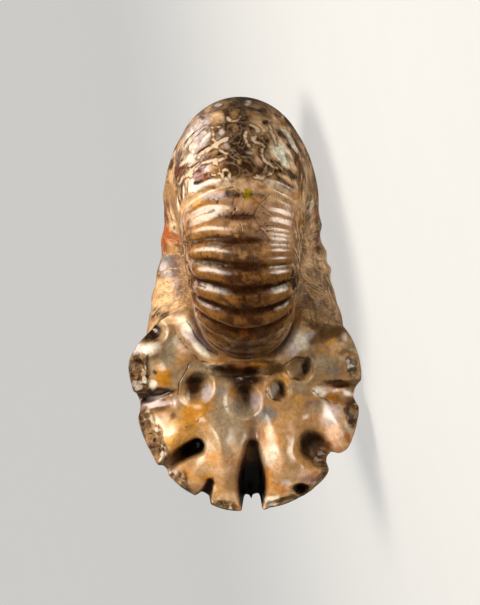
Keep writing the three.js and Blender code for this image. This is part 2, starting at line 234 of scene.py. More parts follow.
def coil(turn, v):
    """The plain coil: points without ribs, steps or chips."""
    size = np.exp(SPIRAL * turn)
    half, radius = section(v)
    side = rise(WIDEST_V, 1.0, np.abs(v))
    width = 1.0 + fullness(turn) * (1.0 - side) + fullness(turn - FULL_TURN) * side
    angle = np.radians(turn)
    return np.stack([half * width * size, -radius * size * np.sin(angle), -radius * size * np.cos(angle)], -1)


def coil_normal(turn, v):
    inside = np.clip(v, -1.0 + NORMAL_STEP, 1.0 - NORMAL_STEP)
    along = coil(turn + NORMAL_STEP, v) - coil(turn - NORMAL_STEP, v)
    across = coil(turn, inside + NORMAL_STEP) - coil(turn, inside - NORMAL_STEP)
    normal = np.cross(across, along)
    return normal / np.linalg.norm(normal, axis=-1, keepdims=True)


def rib_number(turn):
    root = np.sqrt(np.maximum(RIB_STEP**2 - 4.0 * RIB_SPREAD * (turn - RIB_FIRST), 0.0))
    return (root - RIB_STEP) / (2.0 * RIB_SPREAD)


def rib_shape(turn, v):
    """1 on a crest and 0 in a valley. Crests are broad and valleys narrow; some ribs split in two."""
    number = rib_number(turn) + 0.2 * fall(-0.3, 0.0, v)
    whole = np.sqrt(np.cos(pi * number) ** 2 + 0.02)
    halves = 0.62 + 0.3 * np.sqrt(np.cos(2.0 * pi * (number + 0.07)) ** 2 + 0.08)
    right = 0.85 * rise(0.0, 0.22, v) * fall(2.3, 2.8, number)
    left = 0.75 * fall(-0.3, 0.0, v) * fall(0.6, 1.1, number)
    return whole + (halves - whole) * (right + left)


def ribs(turn, v):
    side = 1.0 - 0.7 * rise(0.34, 0.56, np.abs(v)) - 0.3 * rise(0.56, WIDEST_V, np.abs(v))
    inside = fall(ARC_TURN - 6.0, ARC_TURN - 1.0, turn)
    faint = 1.0 - 0.6 * fall(-325.0, -306.0, turn)
    size = np.exp(SPIRAL * (turn + 300.0))
    return RIB_HEIGHT * size * inside * side * faint * (rib_shape(turn, v) - RIB_LEVEL)


def arc_step(turn, v):
    past = rise(ARC_TURN - 0.9, ARC_TURN + 0.9, turn)
    higher = 0.4 * past * fall(ARC_TURN, -185.0, turn)
    lower = 0.6 * (1.0 - past) * rise(-285.0, ARC_TURN, turn)
    return ARC_HEIGHT * fall(0.3, 0.62, np.abs(v)) * (higher - lower)


def flank_waves(turn, v):
    a = np.radians(turn)
    on_flank = rise(0.3, 0.55, np.abs(v)) * fall(0.85, 1.0, np.abs(v)) * rise(-352.0, -330.0, turn)
    waves = np.sin(11 * a + 9 * v) * np.sin(5 * a - 14 * v + 1) + 0.5 * np.sin(23 * a - 17 * v + 2)
    swell = np.cos(2.0 * pi * (turn - FLANK_SWELL_AT) / FLANK_SWELL_STEP)
    last_half = rise(-215.0, -180.0, turn) * fall(-30.0, -12.0, turn)
    return on_flank * (FLANK_WAVE * waves + FLANK_SWELL * last_half * swell)


def wall(turn, v):
    """Points of the finished wall."""
    point = coil(turn, v)
    out = ribs(turn, v) + arc_step(turn, v) + flank_waves(turn, v)
    at_end = rise(-16.0, -4.0, turn)
    last_half = rise(-165.0, -140.0, turn) * fall(-50.0, -30.0, turn)
    for (at_x, at_z), reach, depth in CHIPS:
        out = out - depth * bell(np.hypot(point[..., 0] - at_x, point[..., 2] - at_z) / reach) * at_end
    for (at_x, at_z), reach, height in BUMPS:
        out = out + height * last_half * bell(np.hypot(point[..., 0] - at_x, point[..., 2] - at_z) / reach)
    return point + coil_normal(turn, v) * out[..., None]


# --- end septum -----------------------------------------------------------------------------------
def lobe_depth(lobe, x, z):
    """Depth of a lobe: a trough from its root to its mouth, with a shallow skirt."""
    root, mouth, half, depth, bend, belly = lobe
    run = (mouth[0] - root[0], mouth[1] - root[1])
    length = np.hypot(*run)
    place = ((x - root[0]) * run[0] + (z - root[1]) * run[1]) / length**2
    middle = np.clip(place, 0.0, 1.0)
    aside = ((z - root[1]) * run[0] - (x - root[0]) * run[1]) / length + bend * 4.0 * middle * (1.0 - middle)
    grown = rise(0.0, 1.0, place)
    width = half[0] + (half[1] - half[0]) * grown + belly * 4.0 * middle * (1.0 - middle)
    gap = np.hypot(np.minimum(place, 0.0) * length, aside) / width
    deep = depth[0] + (depth[1] - depth[0]) * grown
    return deep * (fall(0.5, 1.3, gap) + LOBE_SKIRT * bell(gap / LOBE_SKIRT_WIDTH))


def pit_depth(pit, x, z):
    """Depth of a pit: a bowl with a low lip."""
    at, half, depth, push = pit
    gap = oval(x, z, at, half)
    inside = np.clip(1.0 - gap, 0.0, 1.0)
    floor = np.hypot((x - at[0] - push[0] * inside) / half[0], (z - at[1] - push[1] * inside) / half[1])
    lip = PIT_LIP * bell((gap - PIT_LIP_AT) / PIT_LIP_WIDTH)
    return depth * (np.clip(1.0 - floor**2, 0.0, 1.0) ** 1.5 - lip)


def rim_gap(x, z):
    """Distance inward from the rim, below the widest line."""
    return (1.0 - np.hypot(x / WIDEST_HALF, (z + WIDEST_RADIUS) / OUTER_RISE)) * RIM_SCALE


def broken_edge(x, z):
    """Where the shell edge is broken along the lower rim: its strips and its broad left band."""
    gap = rim_gap(x, z)
    round_rim = np.degrees(np.arctan2(x, -(z + WIDEST_RADIUS)))
    strip = rise(6.0, 9.0, round_rim) * fall(38.0, 44.0, round_rim)
    strip = strip + rise(-50.0, -46.0, round_rim) * fall(-24.0, -20.0, round_rim)
    band = rise(-80.0, -74.0, round_rim) * fall(-54.0, -50.0, round_rim)
    low = fall(-48.0, -46.0, z)
    return low * strip * fall(STRIP_OUTER, STRIP_INNER, gap), low * band * fall(BAND_OUTER, BAND_INNER, gap)


def whorl_gap(x, z):
    """Distance outward from the inner whorl's outline, over its half-width."""
    return np.hypot(x / SEAM_HALF, (z + SEAM_RADIUS) * WHORL_GROWTH / OUTER_RISE) - 1.0


def septum_height(x, z):
    """How far the septum stands out of the end plane, toward -Y."""
    bent_x = x + 2.2 * np.sin(0.23 * z + 0.6)
    bent_z = z + 2.4 * np.sin(0.19 * x + 1.1)
    height = FACE_BULGE * bell(np.hypot(x / FACE_HALF[0], (z - FACE_AT) / FACE_HALF[1])) - FACE_SUNK
    height = height + 0.35 * np.sin(0.3 * bent_x + 0.13 * bent_z + 1) * np.cos(0.24 * bent_z - 0.11 * bent_x)
    height = height + 0.13 * np.sin(0.66 * bent_x - 0.41 * bent_z) * np.cos(0.49 * bent_z + 0.52 * bent_x + 2)
    height = height + SHOULDER_RISE * rise(-44.0, -20.0, z) * rise(6.0, 20.0, np.abs(x))
    height = height - SHOULDER_DROP * rise(-28.0, -14.0, z) * rise(24.0, 33.0, np.abs(x))
    for lobe in LOBES:
        height = height - lobe_depth(lobe, x, z)
    for pit in PITS:
        height = height - pit_depth(pit, x, z)
    for at, half, tilt, swell in SWELLS:
        height = height + swell * bell(oval(x, z, at, half, tilt))
    collar = bell((whorl_gap(x, z) - COLLAR_PLACE) / COLLAR_WIDTH) * (0.35 + 0.65 * rise(2.0, 9.0, np.abs(x)))
    collar = collar * fall(-22.0, -15.0, z)
    strip, band = broken_edge(x, z)
    return height + COLLAR_HEIGHT * collar - STRIP_DEPTH * strip - BAND_DEPTH * band


def meeting_turn(v, near):
    """Turn at which the wall meets the septum: near 0 on the rim, near -360 on the inner whorl."""
    turn = np.full(np.shape(v), float(near))
    for _ in range(MEETING_STEPS):
        x, y, z = np.moveaxis(wall(turn, v), -1, 0)
        lean = np.clip(septum_height(x, z) / np.hypot(y, z), -LEAN_LIMIT, LEAN_LIMIT)
        turn = turn + MEETING_PACE * (near + np.degrees(np.arcsin(lean)) - turn)
    return turn


# --- mesh -----------------------------------------------------------------------------------------
def facets(x, z, size):
    """Height of broken facets: each cell of a jittered grid is one tilted plane, from about -1 to 1."""
    best, height = np.full(x.shape, np.inf), np.zeros(x.shape)
    cell_x, cell_z = np.floor(x / size), np.floor(z / size)
    for step_x in (-1, 0, 1):
        for step_z in (-1, 0, 1):
            cell = np.stack([cell_x + step_x, cell_z + step_z, np.zeros(x.shape)], -1)
            dx = x / size - cell[..., 0] - lattice(cell, 1)
            dz = z / size - cell[..., 1] - lattice(cell, 2)
            slope_x, slope_z = (FACET_TILT * (lattice(cell, seed) - 0.5) for seed in (4, 5))
            gap = dx * dx + dz * dz
            height = np.where(gap < best, (lattice(cell, 3) - 0.5) + slope_x * dx + slope_z * dz, height)
            best = np.minimum(best, gap)
    return height


def broken(x, z):
    """1 where the septum's border is broken into facets."""
    strip, band = broken_edge(x, z)
    share = np.maximum(band, 0.6 * strip)
    for at, half in BROKEN:
        share = np.maximum(share, fall(0.75, 1.2, oval(x, z, at, half)))
    return share


class Skin:
    """Collects shared vertices, with their turn and place, and the triangles between rows of them."""

    def __init__(self):
        self.points, self.turns, self.places, self.septum = [], [], [], []
        self.triangles = []
        self.count = 0

    def row(self, points, turns, places, on_septum=0.0):
        self.points.append(points)
        self.turns.append(np.broadcast_to(turns, len(points)))
        self.places.append(np.broadcast_to(places, len(points)))
        self.septum.append(np.full(len(points), on_septum))
        first = self.count
        self.count += len(points)
        return np.arange(first, self.count)

    def stitch(self, first, first_places, second, second_places):
        """Joins two rows by their places. The second lies at the first's left."""
        if len(first) == len(second):
            a, b, c, d = first[:-1], first[1:], second[:-1], second[1:]
            self.triangles.append(np.concatenate([np.stack([a, b, c], 1), np.stack([b, d, c], 1)]))
            return
        i, j, made = 0, 0, []
        while i < len(first) - 1 or j < len(second) - 1:
            first_next = first_places[i] + first_places[i + 1] if i < len(first) - 1 else np.inf
            second_next = second_places[j] + second_places[j + 1] if j < len(second) - 1 else np.inf
            if first_next <= second_next:
                made.append((first[i], first[i + 1], second[j]))
                i += 1
            else:
                made.append((first[i], second[j + 1], second[j]))
                j += 1
        self.triangles.append(np.array(made))

    def faces(self):
        faces = np.concatenate(self.triangles)
        a, b, c = faces.T
        return faces[(a != b) & (b != c) & (c != a)]


def columns(counts):
    outer, side = counts
    left = np.linspace(-1.0, -WIDEST_V, side + 1)[:-1]
    return np.concatenate([left, np.linspace(-WIDEST_V, WIDEST_V, outer + 1), -left[::-1]])


def row_turns():
    """Turns of the wall's rows, and how many of the last have the rim's columns."""
    front = np.arange(FIRST_TURN, FRONT_END, FRONT_STEP)
    back = np.linspace(FRONT_END, END_START, round((END_START - FRONT_END) / BACK_STEP))[:-1]
    end = np.arange(END_START, 0.1, END_STEP)
    return np.concatenate([front, back, end]), len(end)


def wall_rows(skin):
    """Adds the wall's rows, from the inner whorl to the rim. Each has its vertices, turns and places."""
    turns, fine = row_turns()
    seam_start = float(meeting_turn(np.array(WIDEST_V), FIRST_TURN))
    shifts = {}
    for counts in (WALL_COLUMNS, RIM_COLUMNS):
        v = columns(counts)
        start = np.where(np.abs(v) < WIDEST_V - 1e-9, meeting_turn(v, FIRST_TURN), seam_start) - FIRST_TURN
        shifts[counts] = (v, start, meeting_turn(v, 0.0))
    rows = []
    for index, turn in enumerate(turns):
        v, start, end = shifts[RIM_COLUMNS if index >= len(turns) - fine else WALL_COLUMNS]
        met = turn + fall(FIRST_TURN, FIRST_BENT, turn) * start + rise(LAST_BENT, 0.0, turn) * end
        rows.append((skin.row(wall(met, v), met, v), met, v))
    return rows


def add_septum(skin, root, root_places, rim):
    """Fills the end with rows from the inner whorl's seam, the root, out to the rim."""
    ids, _, places = rim
    inner_v = places * WIDEST_V
    inner = wall(meeting_turn(inner_v, FIRST_TURN), inner_v)
    outer = wall(meeting_turn(places, 0.0), places)
    before, before_places = root, root_places / WIDEST_V
    for share in np.linspace(0.0, 1.0, SEPTUM_ROWS + 1)[1:-1]:
        points = inner + (outer - inner) * share
        x, z = points[:, 0], points[:, 2]
        points[:, 1] = -septum_height(x, z) - FACET_HEIGHT * broken(x, z) * facets(x, z, FACET)
        row = skin.row(points, 0.0, places, 1.0)
        row[0], row[-1] = ids[0], ids[-1]
        skin.stitch(row, places, before, before_places)
        before, before_places = row, places
    skin.stitch(ids, places, before, before_places)


def add_umbilicus(skin, rows, first, places, side):
    """One whorl of umbilical wall below the last seam, and the hub that closes its middle."""
    edge = -1 if side > 0 else 0
    seam = 0 if side > 0 else -1
    own = []
    for ids, turns, _ in rows[:-1]:
        turn = turns[edge] - FULL_TURN
        row = skin.row(coil(np.full(len(places), turn), places), turn, places)
        row[seam] = ids[edge]
        own.append(row)
    own.append(first)
    for before, after in zip(own, own[1:]):
        skin.stitch(before, places, after, places)
    hub = skin.row(np.array([[side * HUB_HALF, 0.0, 0.0]]), -2.0 * FULL_TURN, side * 1.0)[0]
    inner = np.array([row[edge] for row in own])
    hubs = np.full(len(inner) - 1, hub)
    fan = (inner[:-1], hubs, inner[1:]) if side > 0 else (inner[:-1], inner[1:], hubs)
    skin.triangles.append(np.stack(fan, 1))
    end = own[0]
    skin.triangles.append(np.stack([np.full(len(end) - 1, hub), end[1:], end[:-1]], 1))


def ammonite_skin():
    """The whole closed skin: wall, septum and both umbilici."""
    skin = Skin()
    rows = wall_rows(skin)
    first, _, places = rows[0]
    rim = rows[-1][0]
    left = WALL_COLUMNS[1]
    right = WALL_COLUMNS[1] + WALL_COLUMNS[0]
    rim[0], rim[-1] = first[left], first[right]
    for before, after in zip(rows, rows[1:]):
        skin.stitch(before[0], before[2], after[0], after[2])
    add_septum(skin, first[left : right + 1], places[left : right + 1], rows[-1])
    add_umbilicus(skin, rows, first[: left + 1], places[: left + 1], -1)
    add_umbilicus(skin, rows, first[right:], places[right:], 1)
    return skin


# --- lying down -----------------------------------------------------------------------------------
def rest_axes():
    """The part's X, Y and Z axes in the coil's frame."""
    up = -np.array(REST_DOWN) / np.linalg.norm(REST_DOWN)
    front = np.array([0.0, -1.0, 0.0])
    front = front - up * front.dot(up)
    front = front / np.linalg.norm(front)
    return np.stack([np.cross(up, front), -front, up])


class Placing:
    """Turns points of the coil's frame, in millimetres, into the part's frame, in metres."""

    def __init__(self, points):
        self.axes = rest_axes()
        turned = points @ self.axes.T * MM
        low, high = turned.min(0), turned.max(0)
        cad_low, cad_high = (np.array(corner) for corner in CAD_BOX)
        self.shift = (cad_low + cad_high) / 2.0 - (low + high) / 2.0
        self.shift[2] = cad_low[2] - low[2]

    def point(self, points):
        return np.asarray(points) @ self.axes.T * MM + self.shift

    def direction(self, direction):
        return Vector(self.axes @ np.asarray(direction, float))


# --- the camera's place, in the coil's frame before it lies down ----------------------------------
CAMERA_ROLL = 1.8
CAMERA_SIDE, CAMERA_HEIGHT, CAMERA_DISTANCE = -1.0, -15.2, 812.0
FOCAL_PIXELS = 2413.0  # the lens's focal length, and the frame's width and height, in pixels
FRAME_PIXELS = (480.0, 605.0)
SENSOR = 36.0

# --- painted patches ------------------------------------------------------------------------------
# Each is an oval in the camera's frame, in pixels: centre, to the right and down; half-width and
# half-height; tilt in degrees; colour; strength; how soft its edge is. The last two may be left out.
# Later ovals lie over earlier ones.
PATCH_STRENGTH, PATCH_SOFT = 0.8, 0.4
FRONT_PATCHES = (
    # dome
    (241, 140, 15, 45, 0, "olive", 1, 0.3), (197, 128, 17, 10, 40, "lilac", 0.75, 0.5),
    (188, 150, 15, 8, 48, "mauve", 0.75, 0.5), (198, 160, 17, 7, 22, "lilac", 0.6, 0.5),
    (198, 171, 16, 5, 25, "rust", 0.7, 0.5), (181, 168, 5, 12, 20, "mauve", 0.6, 0.5),
    (205, 108, 12, 5, 30, "cream", 0.6, 0.5), (222, 104, 8, 5, 0, "beige", 0.6, 0.5),
    (236, 126, 13, 20, 0, "olive", 1, 0.35), (238, 160, 16, 17, 0, "brown", 0.8, 0.35),
    (236, 131, 9, 9, 0, "brown", 0.8, 0.5), (262, 126, 12, 8, -20, "cream"),
    (256, 142, 9, 12, 0, "beige", 0.7, 0.4), (277, 124, 12, 9, -40, "cream", 0.6, 0.5),
    (281, 152, 14, 11, -45, "cream", 0.9, 0.4), (279, 148, 9, 6, -45, "white"),
    (286, 164, 8, 5, -45, "white", 0.7, 0.4), (296, 132, 4, 26, 20, "beige"),
    (302, 152, 3, 22, 12, "cream", 0.7, 0.5), (270, 172, 17, 3, -32, "chestnut", 0.9, 0.3),
    (285, 179, 13, 3, -32, "cream"), (262, 170, 9, 4, 20, "brown"),
    (274, 185, 14, 3, -28, "white", 0.7, 0.4), (290, 186, 6, 4, -30, "chestnut", 0.7, 0.4),
    (180, 145, 9, 2, 65, "cream", 0.9, 0.4), (195, 117, 7, 3.5, 50, "cream", 0.9, 0.3),
    (190, 124, 8, 2, 52, "pink", 0.7, 0.4), (201, 113, 5, 3, 35, "mauve", 0.7, 0.4),
    (186, 127, 4, 2, 60, "mauve", 0.6, 0.4), (204, 125, 8, 2.5, 28, "lilac", 1, 0.3),
    (185, 150, 8, 2, 65, "pink"), (201, 141, 8, 6, 25, "lilac", 1, 0.25),
    (204, 134, 3.5, 3, 30, "white", 0.9, 0.3), (199, 139, 4, 3, 20, "white", 0.5, 0.6),
    (194, 148, 4.5, 5, 0, "white", 0.8, 0.35), (209, 135, 3, 6, 10, "mauve"),
    (208, 145, 3, 3, 0, "grey", 0.6, 0.4), (204, 149, 8, 1.2, 28, "mauve"),
    (221, 133, 4.5, 5.5, 0, "olive", 1, 0.25), (222, 132, 2.5, 3, 0, "lilac", 0.9, 0.4),
    (219, 137, 2.5, 3, 0, "slate"), (217, 117, 7, 6, 0, "cream", 1, 0.3),
    (216, 122, 6, 3, 0, "beige", 0.8, 0.3), (219, 121, 1.6, 1.6, 0, "grey", 0.9, 0.3),
    (218, 106, 6, 3.5, 10, "mauve", 0.9, 0.3), (218, 105, 4, 1.6, 15, "white"),
    (208, 108, 5, 3, 70, "cream", 0.7, 0.4), (213, 112, 7, 1.5, 8, "olive", 0.6, 0.4),
    (220, 112, 3, 1.5, 0, "gold", 0.6, 0.4), (203, 118, 3, 2, 0, "brown", 0.7, 0.4),
    (213, 154, 10.5, 4.5, 0, "golden", 1, 0.2), (222, 155, 5, 3, 0, "umber", 0.9, 0.3),
    (205, 157, 5, 2, 15, "brown", 0.9, 0.3), (203, 153, 8, 1.3, 30, "white"),
    (204, 162, 9, 2.4, 20, "lilac", 1, 0.3), (206, 161, 6, 1.2, 20, "white", 0.6, 0.5),
    (207, 168, 6, 2, 12, "lilac", 0.9, 0.3), (200, 175, 9, 2, 28, "lilac", 0.9, 0.3),
    (208, 171, 4, 1.6, 14, "white", 0.7, 0.4), (205, 178, 9, 4, 20, "rust", 1, 0.2),
    (211, 176, 4, 3.5, 0, "chestnut", 1, 0.3), (197, 183, 5, 3, 30, "umber", 0.9, 0.3),
    (184, 165, 9, 4.5, 78, "olive", 0.9, 0.3), (183, 172, 6, 2.5, 85, "umber", 0.8, 0.35),
    (177, 172, 8, 3, 82, "rust", 0.9, 0.35), (181, 183, 3, 6, 0, "brown", 0.9, 0.3),
    (176, 186, 2.5, 5, 0, "cream", 0.6, 0.4), (186, 180, 2.5, 4, 0, "pink", 0.8, 0.3),
    (173, 165, 10, 2, 80, "cream", 0.7, 0.4), (188, 158, 4, 4, 0, "beige"),
    (186, 152, 5, 3, 70, "grey", 0.7, 0.4), (223, 164, 7, 5, 0, "beige", 1, 0.3),
    (215, 168, 5, 7, 0, "beige", 1, 0.3), (216, 171, 2, 2.6, 0, "gold", 0.8, 0.3),
    (215, 164, 1.6, 1.2, 0, "gold", 0.6, 0.3), (193, 166, 5, 3, 60, "pink"),
    (224.5, 175, 1.8, 5, 0, "umber", 1, 0.2), (234, 107, 5, 12, 0, "tan", 1, 0.2),
    (234, 105, 3, 8, 0, "pink", 0.4, 0.4), (235, 126, 4.5, 4, 0, "tan", 1, 0.2),
    (235, 126, 2.6, 2.4, 0, "golden", 0.6, 0.4), (236, 134, 11, 3.5, 0, "brown", 0.9, 0.3),
    (226, 146, 5, 4, 0, "beige", 0.6, 0.5), (228, 145, 3.6, 3.6, 0, "lilac", 0.7, 0.5),
    (231, 139.5, 13, 1, 3, "lilac"), (241, 165, 13, 11, 0, "olive", 1, 0.25),
    (243, 172, 9, 5, 0, "brown", 0.7, 0.5), (236, 160, 5, 3, 0, "mauve", 0.5, 0.5),
    (256, 106, 6, 3, -10, "beige"), (246, 103, 7, 4, 0, "mauve", 0.6, 0.5),
    (247, 103, 4, 2.4, 15, "white", 0.7, 0.4), (251, 113, 8, 3, -10, "tan", 0.9, 0.4),
    (254.5, 115.5, 2.5, 3.5, 0, "orange", 1, 0.35), (252, 110, 3, 2, 0, "olive", 0.7, 0.4),
    (262, 111, 5.5, 2.8, -10, "mauve", 0.9, 0.3), (259.5, 111, 2, 2, 0, "chestnut", 0.8, 0.3),
    (272, 112, 4, 4, -20, "beige"), (278, 114.5, 4.2, 3, -35, "golden", 1, 0.3),
    (277, 113, 2, 2, 0, "orange", 0.5, 0.4), (283, 123, 5, 2.4, -52, "gold", 0.8, 0.3),
    (289, 122.5, 6.5, 2.6, -50, "umber", 1, 0.25), (296, 133, 10, 2.5, -62, "golden"),
    (293, 131, 8, 1.3, -58, "orange", 0.5, 0.4), (265.5, 122.5, 3.6, 2.8, 0, "umber", 1, 0.2),
    (258, 118, 8, 2.5, 0, "beige", 0.9, 0.4), (257, 127, 6, 4.5, -20, "cream", 1, 0.3),
    (252, 129, 2.2, 4.5, 0, "brown", 1, 0.3), (247.5, 137, 2.6, 8, 0, "cream", 0.9, 0.35),
    (253, 143, 5.5, 4.5, 0, "grey"), (254, 144, 4, 3, 0, "olive", 0.6, 0.4),
    (262, 139, 7, 4, 0, "brown", 1, 0.3), (266, 137, 3, 5, 0, "olive", 0.8, 0.3),
    (267, 142, 2, 3, 0, "umber", 0.8, 0.3), (258, 133, 4, 3, 0, "beige", 0.9, 0.4),
    (264, 151, 5.5, 9.5, -10, "olive", 1, 0.25), (268, 152, 3, 7, -20, "grey"),
    (263, 157, 3, 3, 0, "brown", 0.9, 0.3), (277, 152, 7, 4, -45, "white", 1, 0.3),
    (284, 161, 7, 5, -35, "white", 1, 0.3), (292, 167, 6, 3, -30, "cream", 0.9, 0.3),
    (274, 144, 4, 6, 0, "cream", 0.9, 0.3), (272, 135, 4, 6, 0, "beige", 0.9, 0.4),
    (279.5, 133, 4.5, 1.6, -45, "olive", 1, 0.25), (281.5, 137, 2, 1.2, -20, "gold", 0.8, 0.3),
    (289, 147, 4.5, 1.6, -60, "olive", 0.9, 0.3), (286, 150, 2, 2, 0, "mauve", 0.7, 0.4),
    # The long thin white ovals at 291, 141 and 283, 131 paint highlight streaks on the dome's right.
    (292, 153, 4, 0.9, -60, "golden", 0.8, 0.3), (291, 141, 13, 2, -56, "white", 1, 0.3),
    (283, 131, 5, 1.8, -40, "white", 0.9, 0.3), (298, 146, 12, 1.8, -62, "rust", 0.7, 0.4),
    (302, 152, 10, 1.5, -65, "tan", 0.9, 0.3), (276, 163, 9, 2.2, -30, "brown", 1, 0.25),
    (290, 173, 9, 2.4, -38, "chestnut", 1, 0.3), (281, 168, 8, 1.8, -32, "golden", 0.9, 0.3),
    (274, 176, 5, 3, -20, "tan"), (282, 174, 8, 1.6, -28, "white", 1, 0.3),
    (281, 179, 8, 1.2, -25, "brown", 0.7, 0.3), (284, 185, 8, 1.8, -25, "white", 0.9, 0.3),
    (261, 172, 7.5, 2.8, 20, "olive", 1, 0.2), (262, 172, 5, 1.8, 20, "brown", 0.7, 0.4),
    (258, 162, 4, 5, 0, "pink"), (256.5, 156.5, 1, 1.8, 0, "gold", 1, 0.3),
    (259, 163, 1, 1.2, 0, "gold", 0.9, 0.3), (248, 152, 5, 1.5, -10, "lilac", 0.7, 0.4),
    (293, 178, 4, 3, -40, "umber", 0.8, 0.3), (291, 184, 4, 3, 0, "rust", 0.9, 0.35),
    (303, 172, 12, 1.5, -73, "golden", 0.8, 0.3), (307, 178, 10, 1.6, -75, "cream", 0.9, 0.3),
    (304, 182, 8, 1.2, -77, "rust", 0.6, 0.3),
    # arc
    (250, 183, 4, 1.6, 10, "gold", 0.6, 0.4), (262, 187, 5, 2, -10, "golden", 0.7, 0.4),
    (197, 188, 8, 2.6, 28, "white", 1, 0.3), (212, 182.5, 9, 2.8, 10, "white", 1, 0.3),
    (228, 180.3, 9, 2.6, 3, "white", 1, 0.3), (240, 180, 6, 2, 0, "cream", 1, 0.3),
    (262, 183, 8, 1.6, -8, "cream", 0.9, 0.4), (277, 189, 8, 2, -18, "beige", 0.9, 0.4),
    (205, 189.5, 12, 1, 18, "golden", 0.8, 0.3), (248, 192, 8, 9, 0, "pink", 0.8, 0.3),
    (247.8, 194, 5.6, 6.6, 0, "lime", 1, 0.12), (197, 203.5, 4, 3, 18, "yellow"),
    (216, 196, 14, 3.5, 5, "lilac", 0.7, 0.5), (219, 190, 10, 1.5, 0, "rust", 0.4, 0.5),
    (290, 206, 4, 3, 0, "rust", 0.5, 0.5), (287, 208, 3, 4, 28, "white", 0.6, 0.4),
    # The cream oval at 273, 199 is pale shell with a painted highlight over it.
    (273, 199, 8, 4, -7, "cream", 0.7, 0.5), (175, 195, 3, 4, 0, "gold", 0.5, 0.4),
    # right edge, from the arc down the ribs
    (305, 192, 3.5, 15, -5, "cream"), (302, 188, 1.2, 10, 0, "golden"),
    (297, 196, 5, 4, 0, "gold", 0.4, 0.4), (303, 211, 4, 9, 0, "cream", 0.7, 0.4),
    (300, 225, 5, 5, 0, "gold", 0.6, 0.4), (294, 273, 2, 6, 15, "umber", 1, 0.3),
    (300, 276, 4, 4, 0, "tan"), (296, 236, 5, 13, -5, "beige"),
    (298, 261, 5, 12, 0, "beige", 0.9, 0.4), (299, 250, 3, 5, 0, "cream"),
    (294, 292, 4, 10, 0, "beige", 0.6, 0.5),
    # left edge of the ribs
    (183, 236, 4, 9, 0, "beige", 0.6, 0.4),
    # dome, second coat
    (190, 137, 14, 3.5, 55, "white", 0.7, 0.5), (201, 127, 12, 3.5, 42, "lilac", 0.8, 0.5),
    (190, 158, 12, 2.5, 38, "white", 0.7, 0.4), (200, 150, 8, 4, 30, "lilac"),
    (194, 168, 12, 1.8, 26, "white", 0.7, 0.4), (207, 160, 9, 1.6, 20, "chestnut", 0.9, 0.3),
    (198, 164, 11, 1.4, 26, "umber", 0.8, 0.3), (183, 172, 3, 8, -10, "rust"),
    (204, 176, 11, 3.5, 20, "rust", 0.9, 0.3), (237, 140, 9, 14, 0, "olive"),
    (240, 168, 14, 9, 0, "olive", 0.9, 0.4), (236, 128, 3.2, 3.6, 0, "tan", 1, 0.25),
    (238, 146, 3.4, 4, 0, "golden", 0.9, 0.3), (284, 156, 9, 6, -45, "white", 0.9, 0.4),
    # The thin white oval at 291, 141 is a painted highlight streak.
    (275, 146, 7, 4, -50, "cream", 0.9, 0.3), (291, 141, 2, 12, 28, "white"),
    (283, 134, 1.6, 9, 40, "umber", 0.7, 0.4), (278, 172, 16, 2.4, -32, "brown", 0.9, 0.3),
    (289, 181, 8, 2, -32, "cream", 0.7, 0.4),
    # right edge of the ribs
    (294, 284, 2.4, 10, 10, "umber", 1, 0.3), (300, 276, 4.5, 5, 0, "golden", 1, 0.3),
    (304, 218, 3, 5, 0, "gold", 0.6, 0.4),
    # ribs
    (255, 201, 4, 4, 0, "orange", 0.7, 0.5), (268, 227, 4, 3, 0, "beige", 0.6, 0.5),
    (237, 236, 2, 1.6, 0, "yellow", 0.7, 0.4), (250, 240, 14, 3, 0, "umber", 0.8, 0.5),
    (235, 243, 12, 3, 0, "umber", 0.7, 0.5), (248, 268, 12, 4, 0, "umber", 0.9, 0.5),
    (232, 267, 12, 3, 0, "umber", 0.6, 0.5), (250, 291, 9, 4, 0, "umber", 0.9, 0.5),
    (230, 290, 10, 3, 0, "umber", 0.5, 0.5), (248, 232, 12, 6, 0, "olive", 0.5, 0.5),
    (265, 250, 12, 5, 0, "orange", 0.3, 0.6), (184, 251, 3, 4, 0, "beige", 0.5, 0.5),
    (194, 250, 3, 4, 0, "beige", 0.5, 0.5), (263, 278, 8, 4, 0, "orange", 0.3, 0.6),
    (215, 245, 9, 2.5, 10, "slate", 0.5, 0.5), (205, 264, 14, 2.5, -10, "grey", 0.7, 0.5),
    (186, 262, 4, 12, 10, "tan", 0.5, 0.5), (244, 331, 4, 5, 0, "rust", 0.8, 0.5),
    (243, 344, 10, 4, 0, "umber", 0.6, 0.5), (230, 348, 16, 3, -5, "umber", 0.5, 0.5),
    (264, 341, 4, 2.4, 0, "grey", 0.5, 0.5), (233, 345, 3, 2, 0, "grey", 0.5, 0.5),
    (280, 333, 6, 2, 50, "cream", 0.5, 0.4), (262, 355, 14, 3, 0, "brown", 0.5, 0.5),
    # inner whorl contact
    (240, 360, 20, 1.4, 0, "grey", 0.5, 0.4),
    # dark band along the dome's middle, with its saddles
    (238, 109, 9, 12, 0, "olive", 0.9, 0.35), (239, 140, 9.5, 20, 0, "brown", 0.8, 0.35),
    (239, 165, 17, 9, 0, "brown", 0.75, 0.4), (235, 114, 3.5, 5.5, 0, "tan", 1, 0.25),
    (235, 129, 3, 4, 0, "tan", 1, 0.25), (236, 129, 1.2, 1.8, 0, "chestnut"),
    (239, 162, 1.6, 1.6, 0, "beige", 0.9, 0.4),
    # chambers left and right of it
    (204, 139, 10, 4.5, 40, "lilac", 0.9, 0.35), (207, 137, 6, 1.6, 40, "white"),
    (200, 156, 9, 2.6, 30, "lilac", 0.9, 0.35), (201, 150, 9, 1.4, 32, "chestnut", 0.9, 0.35),
    (196, 164, 9, 1.5, 28, "chestnut", 0.9, 0.35), (197, 168, 10, 2.2, 28, "lilac", 0.8, 0.35),
    (279, 150, 8, 5, -45, "white"), (288, 158, 5, 3, -50, "grey"),
